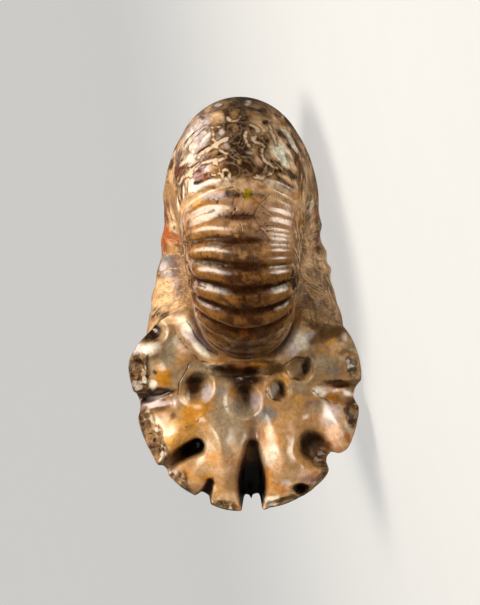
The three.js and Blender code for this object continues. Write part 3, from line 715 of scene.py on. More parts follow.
    (281, 172, 12, 2.2, -32, "chestnut", 0.9, 0.3), (286, 178, 10, 2, -30, "cream", 0.8, 0.35),
    (284, 184, 9, 2.2, -28, "chestnut", 0.8, 0.35),
)
FLANK_PATCHES = (
    # right flank, beside the dome
    (310, 186, 6, 1.2, -77, "tan", 0.8, 0.3),
    # left flank
    (170, 190, 4, 11, 0, "tan", 0.9, 0.4), (172, 178, 3, 6, 0, "cream", 0.7, 0.4),
    (172, 221, 3.5, 11, 8, "cream", 1, 0.3), (173, 226, 2.5, 6, 0, "white", 0.7, 0.5),
    (166, 214, 1.8, 13, -10, "rust", 1, 0.4), (165, 228, 3, 5, 0, "rust", 1, 0.3),
    (175, 236, 4, 3, 0, "rust", 0.9, 0.3), (173, 241, 7, 3, 0, "orange", 1, 0.35),
    (163, 246, 3, 7, -15, "rust", 0.9, 0.4), (162, 253, 2, 5, 0, "umber", 0.7, 0.4),
    (163, 256, 3, 2.5, 0, "cream", 0.8, 0.3), (171, 251, 5, 2.4, 0, "gold"),
    (168, 271, 8, 6, 0, "lilac", 1, 0.4), (171, 260, 3.5, 4.5, 0, "mauve", 0.95, 0.3),
    (177, 266, 5, 4, 30, "mauve"), (160, 271, 2.5, 8, 0, "chestnut"),
    (178, 276, 3, 5, 0, "mauve", 0.6, 0.4), (176, 285, 5, 6, 0, "lilac"),
    (163, 292, 9, 10, 0, "cream", 1, 0.4), (160, 285, 5, 5, 0, "cream", 0.7, 0.5),
    (157, 292, 3, 6, 0, "tan", 0.6, 0.4), (176, 294, 3.5, 9, -20, "slate", 0.7, 0.4),
    (170, 305, 3, 4, 30, "mauve"), (178, 308, 7, 5, 0, "cream", 1, 0.3),
    (160, 304, 9, 5, 5, "cream", 1, 0.3), (155, 313, 6.5, 3.8, 45, "umber", 0.95, 0.3),
    (156, 313, 3.4, 1.8, 45, "tan", 1, 0.3), (163, 315, 5, 2.5, 0, "umber", 0.85, 0.3),
    (163, 310, 3, 1.8, 0, "cream", 0.8, 0.3), (149, 314, 3, 6, -20, "lilac"),
    # right flank
    (311, 207, 1.6, 8, 0, "white", 1, 0.3), (308, 213, 2, 6, 20, "golden", 0.9, 0.3),
    (318, 218, 3, 3, 0, "rust", 0.95, 0.35), (314, 226, 4, 3, 0, "cream"),
    (306, 231, 2, 8, -18, "chestnut", 0.9, 0.3), (317, 235, 4.5, 5.5, 0, "chestnut", 1, 0.3),
    (319, 234, 1.5, 4, 0, "cream", 0.6, 0.4), (311, 244, 6, 5, 0, "cream", 0.9, 0.4),
    (324, 249, 2.5, 9, 18, "tan", 0.9, 0.3), (321, 252, 1.6, 8, 12, "chestnut", 0.9, 0.3),
    (315, 252, 3, 2, 0, "olive", 0.7, 0.4), (322, 266, 2, 8, -8, "cream", 1, 0.3),
    (306, 268, 5, 9, 0, "cream"), (326, 275, 2, 6, 0, "grey"),
    (314, 285, 6, 3, 0, "olive", 0.85, 0.4), (328, 289, 5, 4, -40, "beige", 0.9, 0.4),
    (322, 297, 3, 1.6, 0, "umber"), (328, 299, 2, 1.6, 0, "white", 0.7, 0.4),
    (308, 300, 12, 12, 0, "beige", 0.6, 0.4), (301, 290, 2, 8, 0, "cream", 0.7, 0.4),
    # left flank, second coat
    (172, 239, 8, 3.5, 0, "ember", 1, 0.3), (170, 246, 6, 3, 0, "tan"),
    (164, 251, 4, 3, 0, "rust", 0.7, 0.4), (169, 271, 7, 5, 0, "slate", 0.6, 0.5),
    (172, 259, 4, 4, 0, "mauve", 1, 0.3), (168, 287, 4, 4, 0, "cream", 1, 0.4),
    (173, 300, 5, 5, 0, "cream"),
    # right flank, second coat
    (300, 300, 6, 10, 0, "tan", 0.7, 0.5), (323, 287, 12, 4, 0, "olive"),
    (330, 297, 5, 4, 0, "beige", 1, 0.3), (327, 300, 3, 2, 0, "umber", 0.8, 0.3),
    (316, 302, 14, 8, -20, "olive", 0.7, 0.4), (312, 293, 5, 4, 0, "gold", 0.5, 0.4),
    (324, 262, 4, 9, 12, "cream"), (310, 282, 7, 3, 0, "tan"),
    # left edge of the ribs
    (182, 254, 4, 7, 0, "olive", 0.6, 0.4), (183, 268, 3.5, 7, 0, "beige", 0.6, 0.4),
    (183, 286, 4, 7, 0, "olive", 0.5, 0.4), (187, 304, 4, 7, 10, "beige", 0.5, 0.4),
    # left flank, third coat
    (165, 238, 7, 9, 0, "ember", 1, 0.4), (164, 227, 3, 9, -10, "rust", 1, 0.4),
    (172, 219, 3, 10, 8, "cream", 1, 0.3), (163, 248, 3, 6, -15, "rust", 1, 0.4),
    (170, 243, 3, 2, 0, "cream", 0.9, 0.4), (167, 264, 9, 10, 0, "slate", 1, 0.25),
    (175, 261, 4, 8, -20, "mauve", 0.9, 0.3), (164, 268, 4, 6, 0, "lilac", 0.9, 0.4),
    (178, 284, 3.5, 9, -22, "mauve", 0.9, 0.3), (164, 290, 7, 9, 0, "cream", 1, 0.4),
    (160, 296, 3, 3, 0, "gold", 0.5, 0.5), (178, 306, 6, 5, 0, "cream", 1, 0.3),
    (152, 313, 8, 4.5, 42, "umber", 1, 0.2), (153, 313, 5, 2, 42, "beige", 1, 0.2),
    (164, 313, 4.5, 3, 0, "umber", 1, 0.2), (163, 312, 2, 1.2, 0, "cream", 1, 0.3),
    # right flank, third coat
    (303, 293, 4, 8, 0, "slate", 0.7, 0.4), (318, 241, 3, 12, -10, "rust", 0.9, 0.3),
    (323, 262, 2, 8, 10, "cream", 1, 0.3), (310, 232, 4, 8, -15, "cream", 0.9, 0.3),
    (312, 258, 4, 10, 5, "cream"), (308, 275, 5, 4, 0, "beige", 0.9, 0.4),
    (304, 243, 2, 8, -10, "olive", 0.8, 0.3),
    # left flank, fourth coat
    (163, 214, 2.5, 14, -6, "rust", 1, 0.3), (165, 233, 3, 12, -5, "ember", 0.9, 0.3),
    # right flank, fourth coat
    (320, 223, 4, 8, 25, "umber", 0.9, 0.3), (316, 214, 3, 6, 20, "ember", 0.8, 0.3),
    # left edge of the ribs
    (186, 285, 5, 10, 15, "tan", 0.5, 0.5), (191, 305, 6, 10, 20, "tan", 0.5, 0.5),
    # beside the left shoulder
    (148, 324, 8, 2, 20, "beige", 0.8, 0.3),
    # lower rim
    (286, 503, 20, 4, 14, "brown", 0.6, 0.4),
)
SEPTUM_PATCHES = (
    # shoulders
    (160, 321, 13, 4, 5, "cream", 0.9, 0.4), (325, 322, 8, 3, -10, "olive", 0.85, 0.4),
    (300, 318, 5, 6, 20, "cream", 0.5, 0.5), (177, 318, 8, 3, 0, "cream", 0.7, 0.4),
    (298, 320, 8, 8, 0, "beige", 0.6, 0.5), (318, 314, 16, 5, -20, "brown", 0.7, 0.4),
    (170, 322, 8, 2.5, 0, "cream"),
    # middle and left side, with the rim below
    (243, 420, 95, 85, 0, "tan", 0.6, 0.3), (225, 430, 14, 26, 5, "grey", 0.7, 0.5),
    (222, 400, 9, 26, -10, "grey", 0.6, 0.5), (195, 412, 13, 11, 25, "gold", 1, 0.25),
    (189, 424, 7, 9, 0, "gold", 0.9, 0.35), (184, 430, 6, 6, 0, "olive", 0.4, 0.5),
    (208, 405, 8, 8, 20, "gold", 0.4, 0.5), (207, 425, 4, 3, 0, "orange", 0.6, 0.5),
    (177, 436, 10, 15, -20, "yellow", 0.9, 0.35), (178, 449, 7, 9, -20, "orange", 0.9, 0.4),
    (172, 426, 7, 5, 0, "orange", 0.5, 0.5), (174, 430, 5, 9, -15, "cream"),
    (169, 358, 10, 7, 0, "slate", 0.5, 0.5), (168, 345, 7, 7, 0, "mauve", 0.6, 0.5),
    (162, 376, 8, 10, 0, "gold", 0.8, 0.5), (178, 360, 6, 6, 0, "yellow", 0.4, 0.5),
    (185, 350, 9, 6, -30, "pink", 0.6, 0.5), (192, 359, 9, 6, -30, "tan", 0.7, 0.5),
    (194, 366, 8, 4, 0, "grey", 0.6, 0.5), (176, 378, 10, 9, 0, "grey", 0.5, 0.5),
    (155, 356, 4, 4, 0, "olive", 0.7, 0.5), (150, 349, 10, 6, 15, "white", 0.9, 0.35),
    (142, 343, 5, 4, 20, "beige"), (152, 340, 9, 2.4, 0, "olive", 0.7, 0.4),
    (152, 331, 9, 8, 0, "umber", 1, 0.25), (160, 334, 4, 5, 0, "grey", 0.6, 0.5),
    (180, 323, 4, 5, 0, "cream", 0.5, 0.5), (140, 375, 9, 22, 0, "tan", 0.8, 0.3),
    (137, 360, 9, 5, -20, "olive", 0.7, 0.4), (148, 360, 3, 5, 0, "mauve", 0.6, 0.4),
    (131.5, 366, 2.6, 4, 20, "white", 1, 0.2), (134, 386, 5, 4.4, -15, "lilac", 1, 0.25),
    (152, 384, 4.4, 4.4, 30, "white", 1, 0.2), (147, 371, 2, 16, -3, "umber", 0.9, 0.35),
    (155, 372, 2.4, 2, 0, "umber", 0.8, 0.3), (156, 391, 13, 3.4, 8, "umber", 0.95, 0.3),
    (148, 396, 10, 2.4, 10, "umber", 0.8, 0.3), (153, 402, 16, 5, 0, "lilac", 0.95, 0.3),
    (158, 405, 5, 4.4, 20, "orange", 0.9, 0.35), (164, 404, 2.4, 5, -10, "umber"),
    (137, 397, 4, 3, 0, "beige"), (188, 395, 1.6, 5, 0, "white"),
    (175, 402, 2.4, 6, 0, "lilac", 0.7, 0.4), (173, 416, 2.4, 4, 0, "umber", 0.6, 0.5),
    (151, 430, 12, 20, 35, "beige", 0.8, 0.3), (152, 436, 4, 5, 0, "umber", 0.95, 0.25),
    (153, 443, 4, 3.6, 0, "mauve", 0.8, 0.3), (157, 446, 4, 3, -30, "rust"),
    (162, 455, 3, 7, 30, "umber", 0.7, 0.4), (156, 455, 4, 8, 30, "tan"),
    (150, 422, 2, 4, 0, "umber", 0.6, 0.4), (153, 428, 4, 1.4, -20, "white", 0.9, 0.3),
    (165, 447, 2, 10, 25, "brown", 0.7, 0.4), (172, 470, 3, 6, 30, "slate", 0.6, 0.4),
    (175, 474, 3, 2, 20, "white", 0.6, 0.4), (186, 488, 3, 18, 42, "rust", 0.55, 0.4),
    (183, 482, 3, 6, 40, "white", 0.5, 0.4), (189, 473, 6, 6, 0, "orange"),
    (198, 481, 5, 4, 0, "cream"), (206, 477, 6, 3.4, 0, "gold", 0.9, 0.35),
    (212, 480, 3, 3, 0, "gold"), (203, 468, 14, 5, 10, "tan"),
    (213, 457, 9, 4, 10, "orange", 0.5, 0.5), (205, 470, 9, 3, 10, "grey", 0.5, 0.4),
    (225, 468, 11, 8, 20, "pink", 0.5, 0.5), (228, 463, 12, 4, 20, "orange", 0.4, 0.5),
    (222, 486, 13, 10, 0, "tan"), (213, 487, 2, 2, 0, "white", 0.6, 0.4),
    (224, 504, 3, 5, 0, "olive", 0.9, 0.3), (213, 500, 3, 4, 20, "olive", 0.7, 0.4),
    (237, 504, 4, 5, 30, "orange", 0.9, 0.4), (232, 498, 10, 6, 0, "cream", 0.7, 0.4),
    (221, 509, 14, 3, -8, "cream", 0.6, 0.4), (210, 503, 5, 3, -20, "brown", 0.7, 0.4),
    # pits of the middle, and the rim below
    (246, 380, 18, 5, 0, "umber", 0.85, 0.5), (240, 390, 10, 5, 0, "brown", 0.6, 0.5),
    # The cream oval at 232, 404 and the lilac at 255, 402 are painted highlights on the rim and lit wall of
    # the middle pit; the umber at 246, 398 darkens its middle.
    (233, 392, 5, 5, 0, "gold", 0.6, 0.5), (232, 404, 4, 7, 20, "cream", 0.7, 0.5),
    (255, 402, 7, 9, -20, "lilac", 0.7, 0.5), (246, 398, 4, 12, 10, "umber", 0.7, 0.5),
    (240, 409, 7, 3, -20, "orange", 0.6, 0.5), (249, 412, 10, 4, 0, "grey", 0.6, 0.5),
    (268, 414, 9, 7, 0, "slate", 0.8, 0.5), (262, 424, 16, 4, 5, "gold", 0.6, 0.5),
    (253, 438, 5, 12, 0, "brown", 0.8, 0.5), (258, 436, 6, 9, 0, "mauve", 0.5, 0.5),
    (279, 428, 14, 9, 0, "tan", 0.6, 0.5), (281, 440, 13, 7, 0, "orange", 0.45, 0.5),
    # The cream oval at 293, 430 paints a narrow highlight on the ridge beside the right lobe.
    (262, 450, 7, 9, 0, "pink", 0.4, 0.5), (293, 430, 4, 9, 15, "cream", 0.5, 0.5),
    (298, 450, 11, 20, 35, "tan"), (307, 458, 9, 16, 40, "yellow", 0.3, 0.5),
    (272, 462, 11, 11, 0, "pink", 0.5, 0.5), (268, 478, 5, 13, 5, "orange"),
    (279, 488, 7, 5, 0, "orange", 0.7, 0.5), (283, 491, 4, 3, 0, "rust", 0.4, 0.4),
    (288, 475, 8, 7, 0, "beige", 0.6, 0.5), (303, 474, 10, 5, -20, "pink", 0.5, 0.5),
    (302, 486, 5, 5, 0, "grey", 0.6, 0.3), (307, 491, 5, 3, 0, "beige", 0.7, 0.4),
    (313, 482, 5, 6, -20, "mauve", 0.6, 0.4), (319, 468, 6, 3, -20, "beige", 0.7, 0.4),
    (325, 474, 3, 2, -30, "umber", 0.8, 0.3), (271, 499, 9, 3, 15, "white", 0.7, 0.4),
    (309, 491, 10, 3, 35, "brown", 0.6, 0.4), (267, 506, 3, 6, -20, "lilac", 0.6, 0.4),
    # right side: shoulder, petals and the inner whorl's edge
    # The cream ovals at 297, 369 and 291, 374 and the white at 275, 389 and 271, 394 paint the bright
    # lower-left crescents of the two right pits: painted highlights. The umber ones darken their right sides.
    (307, 365, 4.5, 10, -10, "umber", 0.9, 0.3), (297, 369, 5, 7, 0, "cream"),
    (291, 374, 5, 2, -45, "cream"), (283, 388, 4, 10, 10, "umber", 0.9, 0.3),
    (275, 389, 3.5, 6, 0, "white", 0.7, 0.4), (271, 394, 1.5, 6, 30, "white"),
    # The lilac oval at 207, 392 paints the lit lower-right wall of the left pit: painted light. The umber and
    # brown darken its upper left.
    (195, 380, 10, 4.5, 15, "umber", 0.85, 0.4), (193, 388, 6, 6, 0, "brown", 0.7, 0.4),
    (207, 392, 5, 9, -10, "lilac"), (300, 395, 12, 7, 0, "olive", 0.35, 0.6),
    (299, 400, 7, 5, 0, "yellow", 0.4, 0.5), (290, 388, 6, 9, 0, "yellow", 0.4, 0.5),
    (284, 377, 6, 6, -40, "yellow", 0.4, 0.5), (295, 388, 10, 4, 0, "slate", 0.35, 0.5),
    (320, 338, 14, 8, 10, "olive", 0.6, 0.5), (330, 331, 12, 6, 20, "brown", 0.7, 0.4),
    (328, 350, 12, 6, -10, "yellow", 0.45, 0.5), (323, 346, 4, 3, 0, "cream", 0.6, 0.5),
    (323, 360, 5, 4, 0, "slate", 0.5, 0.5), (335, 366, 12, 8, 0, "tan", 0.6, 0.5),
    (340, 372, 7, 5, 0, "orange", 0.5, 0.5), (326, 374, 6, 3, 0, "gold", 0.5, 0.5),
    (309, 350, 8, 5, 0, "beige", 0.5, 0.5), (313, 362, 3, 12, 0, "brown", 0.5, 0.5),
    (345, 352, 7, 3, 0, "olive", 0.7, 0.4), (349, 358, 6, 6, 0, "beige", 0.8, 0.3),
    (350, 366, 5, 3.4, 0, "white", 0.9, 0.25), (353, 374, 4, 5, 0, "grey", 0.6, 0.4),
    (344, 336, 3, 4, 0, "white", 0.7, 0.4), (341, 341, 3, 4, 0, "rust", 0.4, 0.5),
    (296, 343, 8, 7, 10, "white", 0.9, 0.35), (288, 355, 10, 4, 25, "beige"),
    (300, 336, 7, 8, 0, "beige", 0.6, 0.5), (338, 383, 14, 3, -5, "umber"),
    (340, 389, 10, 6, 0, "rust", 0.6, 0.4), (324, 391, 9, 5, 0, "pink"),
    (330, 397, 12, 3, -8, "olive"), (338, 400, 12, 3, -8, "orange", 0.6, 0.5),
    (345, 395, 6, 5, 0, "tan", 0.7, 0.4), (320, 404, 15, 4, -5, "mauve", 0.7, 0.5),
    (317, 417, 9, 5, 0, "orange", 0.6, 0.5), (331, 411, 8, 4, -10, "lilac", 0.7, 0.5),
    (332, 421, 8, 5, 0, "mauve", 0.7, 0.4), (335, 432, 9, 9, -30, "pink", 0.9, 0.4),
    (338, 446, 5, 8, 20, "pink", 0.5, 0.5), (340, 451, 4, 5, 0, "rust", 0.5, 0.4),
    (350, 411, 6, 6, 0, "umber", 0.8, 0.25), (355, 407, 3, 2.4, 0, "rust", 0.8, 0.3),
    (350, 415, 3, 3, 0, "lilac", 0.8, 0.3), (351, 424, 3, 4, 0, "umber", 0.8, 0.3),
    (347, 428, 5, 4, 0, "grey", 0.7, 0.3), (347, 437, 3, 7, 15, "rust", 0.7, 0.3),
    (344, 419, 5, 5, 0, "beige", 0.7, 0.3), (310, 455, 8, 12, 30, "beige", 0.5, 0.4),
    (322, 447, 6, 8, 0, "rust", 0.7, 0.4), (317, 453, 3, 6, 0, "lilac", 0.6, 0.3),
    (325, 457, 3, 5, 0, "orange", 0.7, 0.3), (313, 437, 10, 6, -20, "umber"),
    (305, 443, 4, 10, 20, "umber", 0.7, 0.4), (264, 504, 2, 4, 20, "beige", 0.9, 0.3),
    # inner whorl contact; the black ovals and the umber at 243, 371 paint the shade in its crease
    (215, 368, 13, 2.6, -8, "black", 1, 0.3), (232, 369, 6, 4, 0, "black", 0.9, 0.35),
    (229, 371, 2.4, 2, 0, "lilac", 0.5, 0.4), (218, 361, 9, 2.2, 0, "orange", 0.9, 0.4),
    (221, 364, 4, 1.6, 0, "cream"), (246, 366, 22, 4, 0, "rust", 0.6, 0.5),
    (258, 364, 8, 3, 0, "gold", 0.6, 0.5), (243, 371, 18, 3.4, 0, "umber"),
    (263, 371, 5, 2.6, 0, "beige", 0.6, 0.4), (275, 368, 9, 7, 0, "olive", 0.8, 0.5),
    (205, 357, 8, 3, -35, "beige"),
    # collar
    (187, 333, 9, 3.6, -50, "white", 0.9, 0.4), (199, 347, 9, 3.6, -42, "white", 1, 0.4),
    (212, 356, 7, 2.6, -20, "cream"), (176, 340, 6, 4, -40, "grey", 0.6, 0.5),
    (301, 343, 7.5, 4.5, 45, "white", 1, 0.4), (310, 335, 5, 4, 40, "lilac"),
    # cave on the right
    (318, 452, 9, 8, 0, "beige"), (312, 458, 4, 5, -30, "tan", 0.8, 0.3),
    (322, 446, 4, 5, -30, "olive", 0.7, 0.4), (326, 455, 3, 6, -20, "orange", 0.5, 0.4),
    # shadow below the inner whorl
    (240, 373, 30, 7, 0, "umber", 0.75, 0.6),
    # slit on the left
    (163, 393, 13, 3, 12, "umber", 1, 0.35), (163, 404, 6, 3.5, 10, "rust", 0.9, 0.4),
    (155, 402, 5, 3, 0, "lilac"), (165, 378, 6, 8, 0, "gold", 1, 0.4),
    # left shoulder
    (150, 332, 8, 7, 0, "umber", 1, 0.25), (150, 349, 10, 3.6, 8, "white", 1, 0.35),
    (171, 345, 6, 9, -20, "grey", 0.9, 0.4), (168, 360, 9, 8, 0, "grey", 0.7, 0.4),
    # right petals
    (320, 392, 7, 5, -20, "white", 1, 0.35), (341, 391, 6, 4.5, 0, "orange", 0.9, 0.4),
    (340, 384, 8, 3.5, 0, "umber", 1, 0.3), (332, 398, 5, 3.5, -20, "gold", 0.9, 0.4),
    (346, 396, 6, 4, 0, "beige", 0.9, 0.4),
    # right shoulder
    # The olive oval at 335, 332 paints the shadow below the matrix above; the cream at 330, 350 paints a
    # highlight on the ridge below it.
    (335, 332, 12, 6, 15, "olive", 1, 0.4), (331, 343, 7, 3.5, 30, "yellow", 0.9, 0.4),
    (330, 350, 5, 3, 30, "cream", 0.9, 0.4), (351, 364, 5, 7, 0, "white", 0.9, 0.3),
    (320, 316, 20, 7, -15, "beige", 1, 0.3), (303, 322, 8, 9, 0, "tan", 0.9, 0.4),
    (314, 327, 12, 3, -10, "olive"), (326, 321, 9, 2, -20, "cream"),
    (306, 330, 9, 2.5, -20, "beige", 0.9, 0.4),
    # left shoulder, second coat
    (170, 318, 14, 4, 0, "beige"), (152, 331, 9, 6.5, 25, "umber", 0.95, 0.3),
    (156, 333, 5, 3, 20, "rust", 0.6, 0.5), (148, 348, 10, 4.5, 10, "white"),
    (138, 349, 4, 6, 0, "lilac", 0.7, 0.4), (196, 338, 17, 6, -38, "lilac"),
    (201, 350, 10, 4, -40, "white"), (188, 328, 6, 4, -40, "white"),
    # right of the inner whorl
    (300, 342, 9, 8, 30, "white", 0.7, 0.4), (293, 352, 6, 4, 30, "lilac", 0.6, 0.4),
    # middle
    (236, 410, 14, 10, 0, "grey", 0.7, 0.5), (262, 420, 10, 7, 0, "slate", 0.5, 0.5),
    (238, 432, 8, 12, 0, "grey", 0.7, 0.5), (222, 392, 7, 5, 20, "slate", 0.5, 0.5),
    (205, 372, 12, 8, 0, "grey", 0.5, 0.5), (300, 385, 10, 8, 0, "grey", 0.5, 0.5),
    # cave, second coat
    (318, 448, 6, 7, 0, "olive", 0.9, 0.4), (313, 442, 5, 4, 20, "umber", 0.9, 0.4),
    (320, 452, 4, 3, 30, "tan"), (326, 444, 3, 4, 0, "beige", 0.7, 0.4),
    # petals, with painted highlights: the white ovals and the cream one
    (269, 456, 7, 9, -10, "white", 0.6, 0.6), (209, 446, 5, 7, 20, "white", 0.4, 0.6),
    (236, 450, 5, 10, 25, "cream", 0.6, 0.5), (178, 440, 8, 5, 40, "yellow", 0.7, 0.5),
    (196, 480, 9, 4, -20, "yellow", 0.5, 0.5),
    # curl of the left shoulder
    (170, 316, 18, 6, 5, "cream", 0.8, 0.3), (165, 314, 4.5, 3, 0, "umber", 1, 0.2),
    (180, 312, 8, 4, 0, "mauve", 0.5, 0.4),
    # left shoulder and slit
    (150, 332, 10, 7, -10, "umber", 1, 0.25), (152, 405, 14, 5, 0, "mauve"),
    (160, 408, 8, 4, 0, "chestnut", 0.6, 0.5), (186, 438, 12, 9, 30, "yellow", 0.8, 0.5),
    # middle
    (243, 383, 12, 9, 0, "umber", 0.75, 0.5), (235, 425, 20, 16, 0, "grey", 0.5, 0.6),
    # right shoulder and petals
    (322, 350, 12, 7, 0, "tan", 0.6, 0.5), (338, 346, 8, 4, 20, "cream"),
    (300, 340, 8, 9, 20, "white", 0.5, 0.5), (325, 365, 14, 10, 0, "grey", 0.7, 0.5),
    (335, 372, 8, 6, 0, "slate", 0.5, 0.5), (330, 415, 12, 10, 30, "lilac", 0.5, 0.5),
    (318, 408, 12, 6, 20, "grey", 0.6, 0.5),
    # cave on the right
    (318, 444, 7, 6, 0, "chestnut", 0.9, 0.4), (323, 452, 6, 3, -40, "tan", 0.9, 0.35),
    (313, 455, 5, 2, -30, "cream", 0.8, 0.35), (327, 445, 4, 4, 0, "rust"),
    # lower rim
    (172, 468, 5, 4, 40, "mauve"), (185, 482, 6, 3, -40, "cream"),
    (189, 488, 7, 1.5, -38, "umber"), (197, 493, 7, 2, -30, "beige"),
    (308, 480, 8, 5, 30, "mauve", 0.7, 0.4), (316, 474, 5, 4, 0, "rust", 0.6, 0.4),
    (287, 482, 5, 3, 20, "lilac", 0.7, 0.4), (283, 500, 13, 1.5, 15, "umber"),
)

# Lines in the camera's frame, in pixels: pale walls of the sutures, dark grooves, and cracks.
FRONT_WALLS = (
    ((212, 127), (213, 133), (214, 139), (218, 144), (222, 141), (227, 139)),
    ((212, 127), (216, 126.5), (220, 127)),
    ((218, 144), (212, 147), (206, 150), (200, 154), (197, 158)),
    ((216, 147), (220, 151), (225, 153.5), (228, 154), (224, 158), (220, 160), (215, 159), (208, 161),
     (200, 163), (194, 167), (191, 171), (190, 176)),
    ((222, 180), (221, 174), (222, 170), (226, 168.5), (229, 172), (230, 178), (232, 181)),
    ((213, 161), (217, 163), (219, 168), (219, 173), (216, 176), (212, 175)),
    ((250, 125), (255, 127), (258, 131), (256, 136), (252, 139), (256, 142), (262, 144), (265, 147)),
    ((246, 131), (245, 138), (247, 144), (251, 147)),
    ((262, 150), (263, 157), (266, 162), (271, 166), (278, 169)),
    ((254, 177), (262, 178), (268, 175), (272, 171)),
    ((178, 185), (182, 178), (188, 173), (191, 170)),
    ((228, 118), (231, 121), (237, 121), (240, 117)),
    ((270, 125), (270, 131), (274, 137), (277, 144)),
)
FRONT_GROOVES = (
    ((183, 147), (189, 138), (197, 131), (207, 124)),
    ((195, 138), (200, 133), (205, 129)),
    ((197, 153), (203, 148), (210, 144)),
    ((198, 168), (205, 164), (212, 162)),
    ((192, 175), (198, 171), (206, 167)),
    ((270, 160), (277, 164), (283, 167), (291, 172), (298, 177)),
    ((285, 119), (289, 124), (292, 128)),
    ((290, 132), (296, 142), (300, 150), (303, 158)),
    ((283, 134), (288, 141), (293, 149), (297, 156)),
    ((300, 160), (303, 168), (305, 178), (308, 188)),
    ((266, 135), (268, 141), (266, 146)),
    ((192, 193), (200, 189), (210, 186.5), (222, 185), (235, 184)),
    ((186, 199), (194, 194), (206, 190), (220, 188), (234, 187.5)),
    ((258, 184), (270, 187), (282, 191), (292, 197)),
    ((234, 198), (232, 203), (236, 208), (233, 213), (225, 216)),
    ((218, 214), (224, 219), (236, 218), (240, 214)),
    ((237, 220), (234, 227), (230, 232), (226, 237)),
    ((262, 212), (270, 217)),
    ((262, 226), (268, 235)),
    ((213, 198), (216, 203), (219, 198)),
    ((182, 243), (192, 240), (200, 241), (214, 240)),
    ((187, 262), (200, 262), (212, 266), (226, 266)),
    ((188, 284), (200, 286), (214, 290)),
    ((202, 214), (208, 212), (214, 210)),
    ((240, 224), (242, 232), (239, 240)),
    ((296, 262), (296, 270), (298, 278), (297, 290)),
)
FLANK_GROOVES = (
    ((301, 196), (306, 208), (309, 222), (307, 236), (311, 250)),
    ((318, 205), (316, 222), (318, 238)),
    ((168, 205), (172, 220), (176, 235)),
    ((172, 243), (178, 246)),
    ((165, 275), (172, 270), (181, 262)),
)
SEPTUM_GROOVES = (
    ((175, 331), (186, 346), (197, 358), (207, 363)),
    ((187, 321), (195, 335), (206, 348), (218, 354)),
    ((147, 355), (148, 365), (148, 376), (147, 387)),
    ((137, 398), (148, 393), (158, 390), (171, 389)),
    ((283, 366), (289, 361), (296, 356), (304, 358)),
    ((266, 391), (270, 396), (276, 400), (282, 402)),
    ((286, 373), (292, 378), (299, 380)),
    ((313, 391), (322, 398), (331, 402), (345, 404), (353, 404)),
    ((344, 409), (350, 417), (352, 421)),
    ((268, 503), (278, 499), (288, 497)),
    ((160, 440), (163, 448), (166, 457)),
)
SEPTUM_CRACKS = (
    ((188, 364), (184, 374), (178, 384), (177, 395)),
    ((197, 419), (206, 413), (217, 409), (228, 406)),
    ((185, 427), (193, 426), (199, 420)),
)

# Colours of the stone: linear red, green and blue, and what they stand for.
COLOURS = {
    # white, cream and lilac also lay painted highlights in some of the ovals.
    "white": ((0.76, 0.666, 0.545), "Fresh calcite"),
    "cream": ((0.582, 0.368, 0.197), "Walls of the sutures"),
    "beige": ((0.43, 0.262, 0.125), "Rough matrix"),
    "tan": ((0.35, 0.185, 0.07), "Polished infill"),
    "pink": ((0.54, 0.345, 0.245), "Petals of the septum"),
    "lilac": ((0.45, 0.37, 0.375), "Pale chambers"),
    "mauve": ((0.187, 0.097, 0.078), "Darker chambers"),
    "slate": ((0.17, 0.16, 0.158), "Blue-grey chalcedony"),
    "grey": ((0.27, 0.205, 0.125), "Grey infill"),
    "lime": ((0.38, 0.27, 0.018), "Disc of the siphuncle"),
    "yellow": ((0.601, 0.297, 0.056), "Iron-stained petals"),
    "gold": ((0.407, 0.172, 0.0139), "Iron-stained patches"),
    "orange": ((0.43, 0.175, 0.032), "Strong iron stains"),
    "ember": ((0.42, 0.1, 0.016), "Red-orange stains"),
    "golden": ((0.25, 0.12, 0.03), "Crests of the ribs"),
    "chestnut": ((0.08, 0.028, 0.008), "Lower ribs"),
    "rust": ((0.216, 0.048, 0.0079), "Red-brown infill"),
    "olive": ((0.115, 0.055, 0.015), "Brown shell"),
    "brown": ((0.06, 0.024, 0.007), "Darker shell"),
    # umber is also laid as painted shade in the lobes and pits, and black only as painted shade: in their
    # depths and in the crease below the inner whorl.
    "umber": ((0.019, 0.0055, 0.0018), "Shell in the valleys and cavities"),
    "black": ((0.0062, 0.0037, 0.0025), "Depths of the cavities"),
}


# --- painting -------------------------------------------------------------------------------------
OCTAVES = ((1.0, 1.0), (0.5, 2.1), (0.25, 4.3))  # strength of each, and how much finer it is
STRAYS = ((0.35, 2.6), (0.2, 0.9))  # how far the patches' outlines stray, and in what lumps
CHAMBER_STRETCH = np.array([1.0, 0.8, 0.8])
STREAKS_ACROSS, STREAKS_ALONG = 34.0, 0.06  # streaks of the sides follow the turns
FLANK_TURN = -172.0  # from here on, the wall is the hidden side and the flanks
RIB_WARMTH = np.array([1.0, 0.93, 0.78])
PATCH_COVER = 1.15
MIDDLE_TONE = 0.19  # chambers lighter than this get lighter, and darker ones darker
DOME_CONTRAST, FLANK_CONTRAST = 0.55, 0.35
LINE_REACH = 27.0  # in pixels: lines farther off leave no mark
LIT_CAVE, LIT_HALF = (321.0, 450.0), (11.0, 10.0)  # the cave on the right is open to the light
CONTACT_AT, CONTACT_HALF = (0.0, -37.4), (14.0, 2.4)  # rough rock below the inner whorl
SHOULDER_AT, SHOULDER_HALF, SHOULDER_TILT = (25.0, -20.0), (8.0, 3.6), -15.0  # and above the right shoulder
MASKS = (
    "pale", "dark", "crack", "veined", "sutured", "matt", "speckled", "satin", "dull", "marbled", "broken")


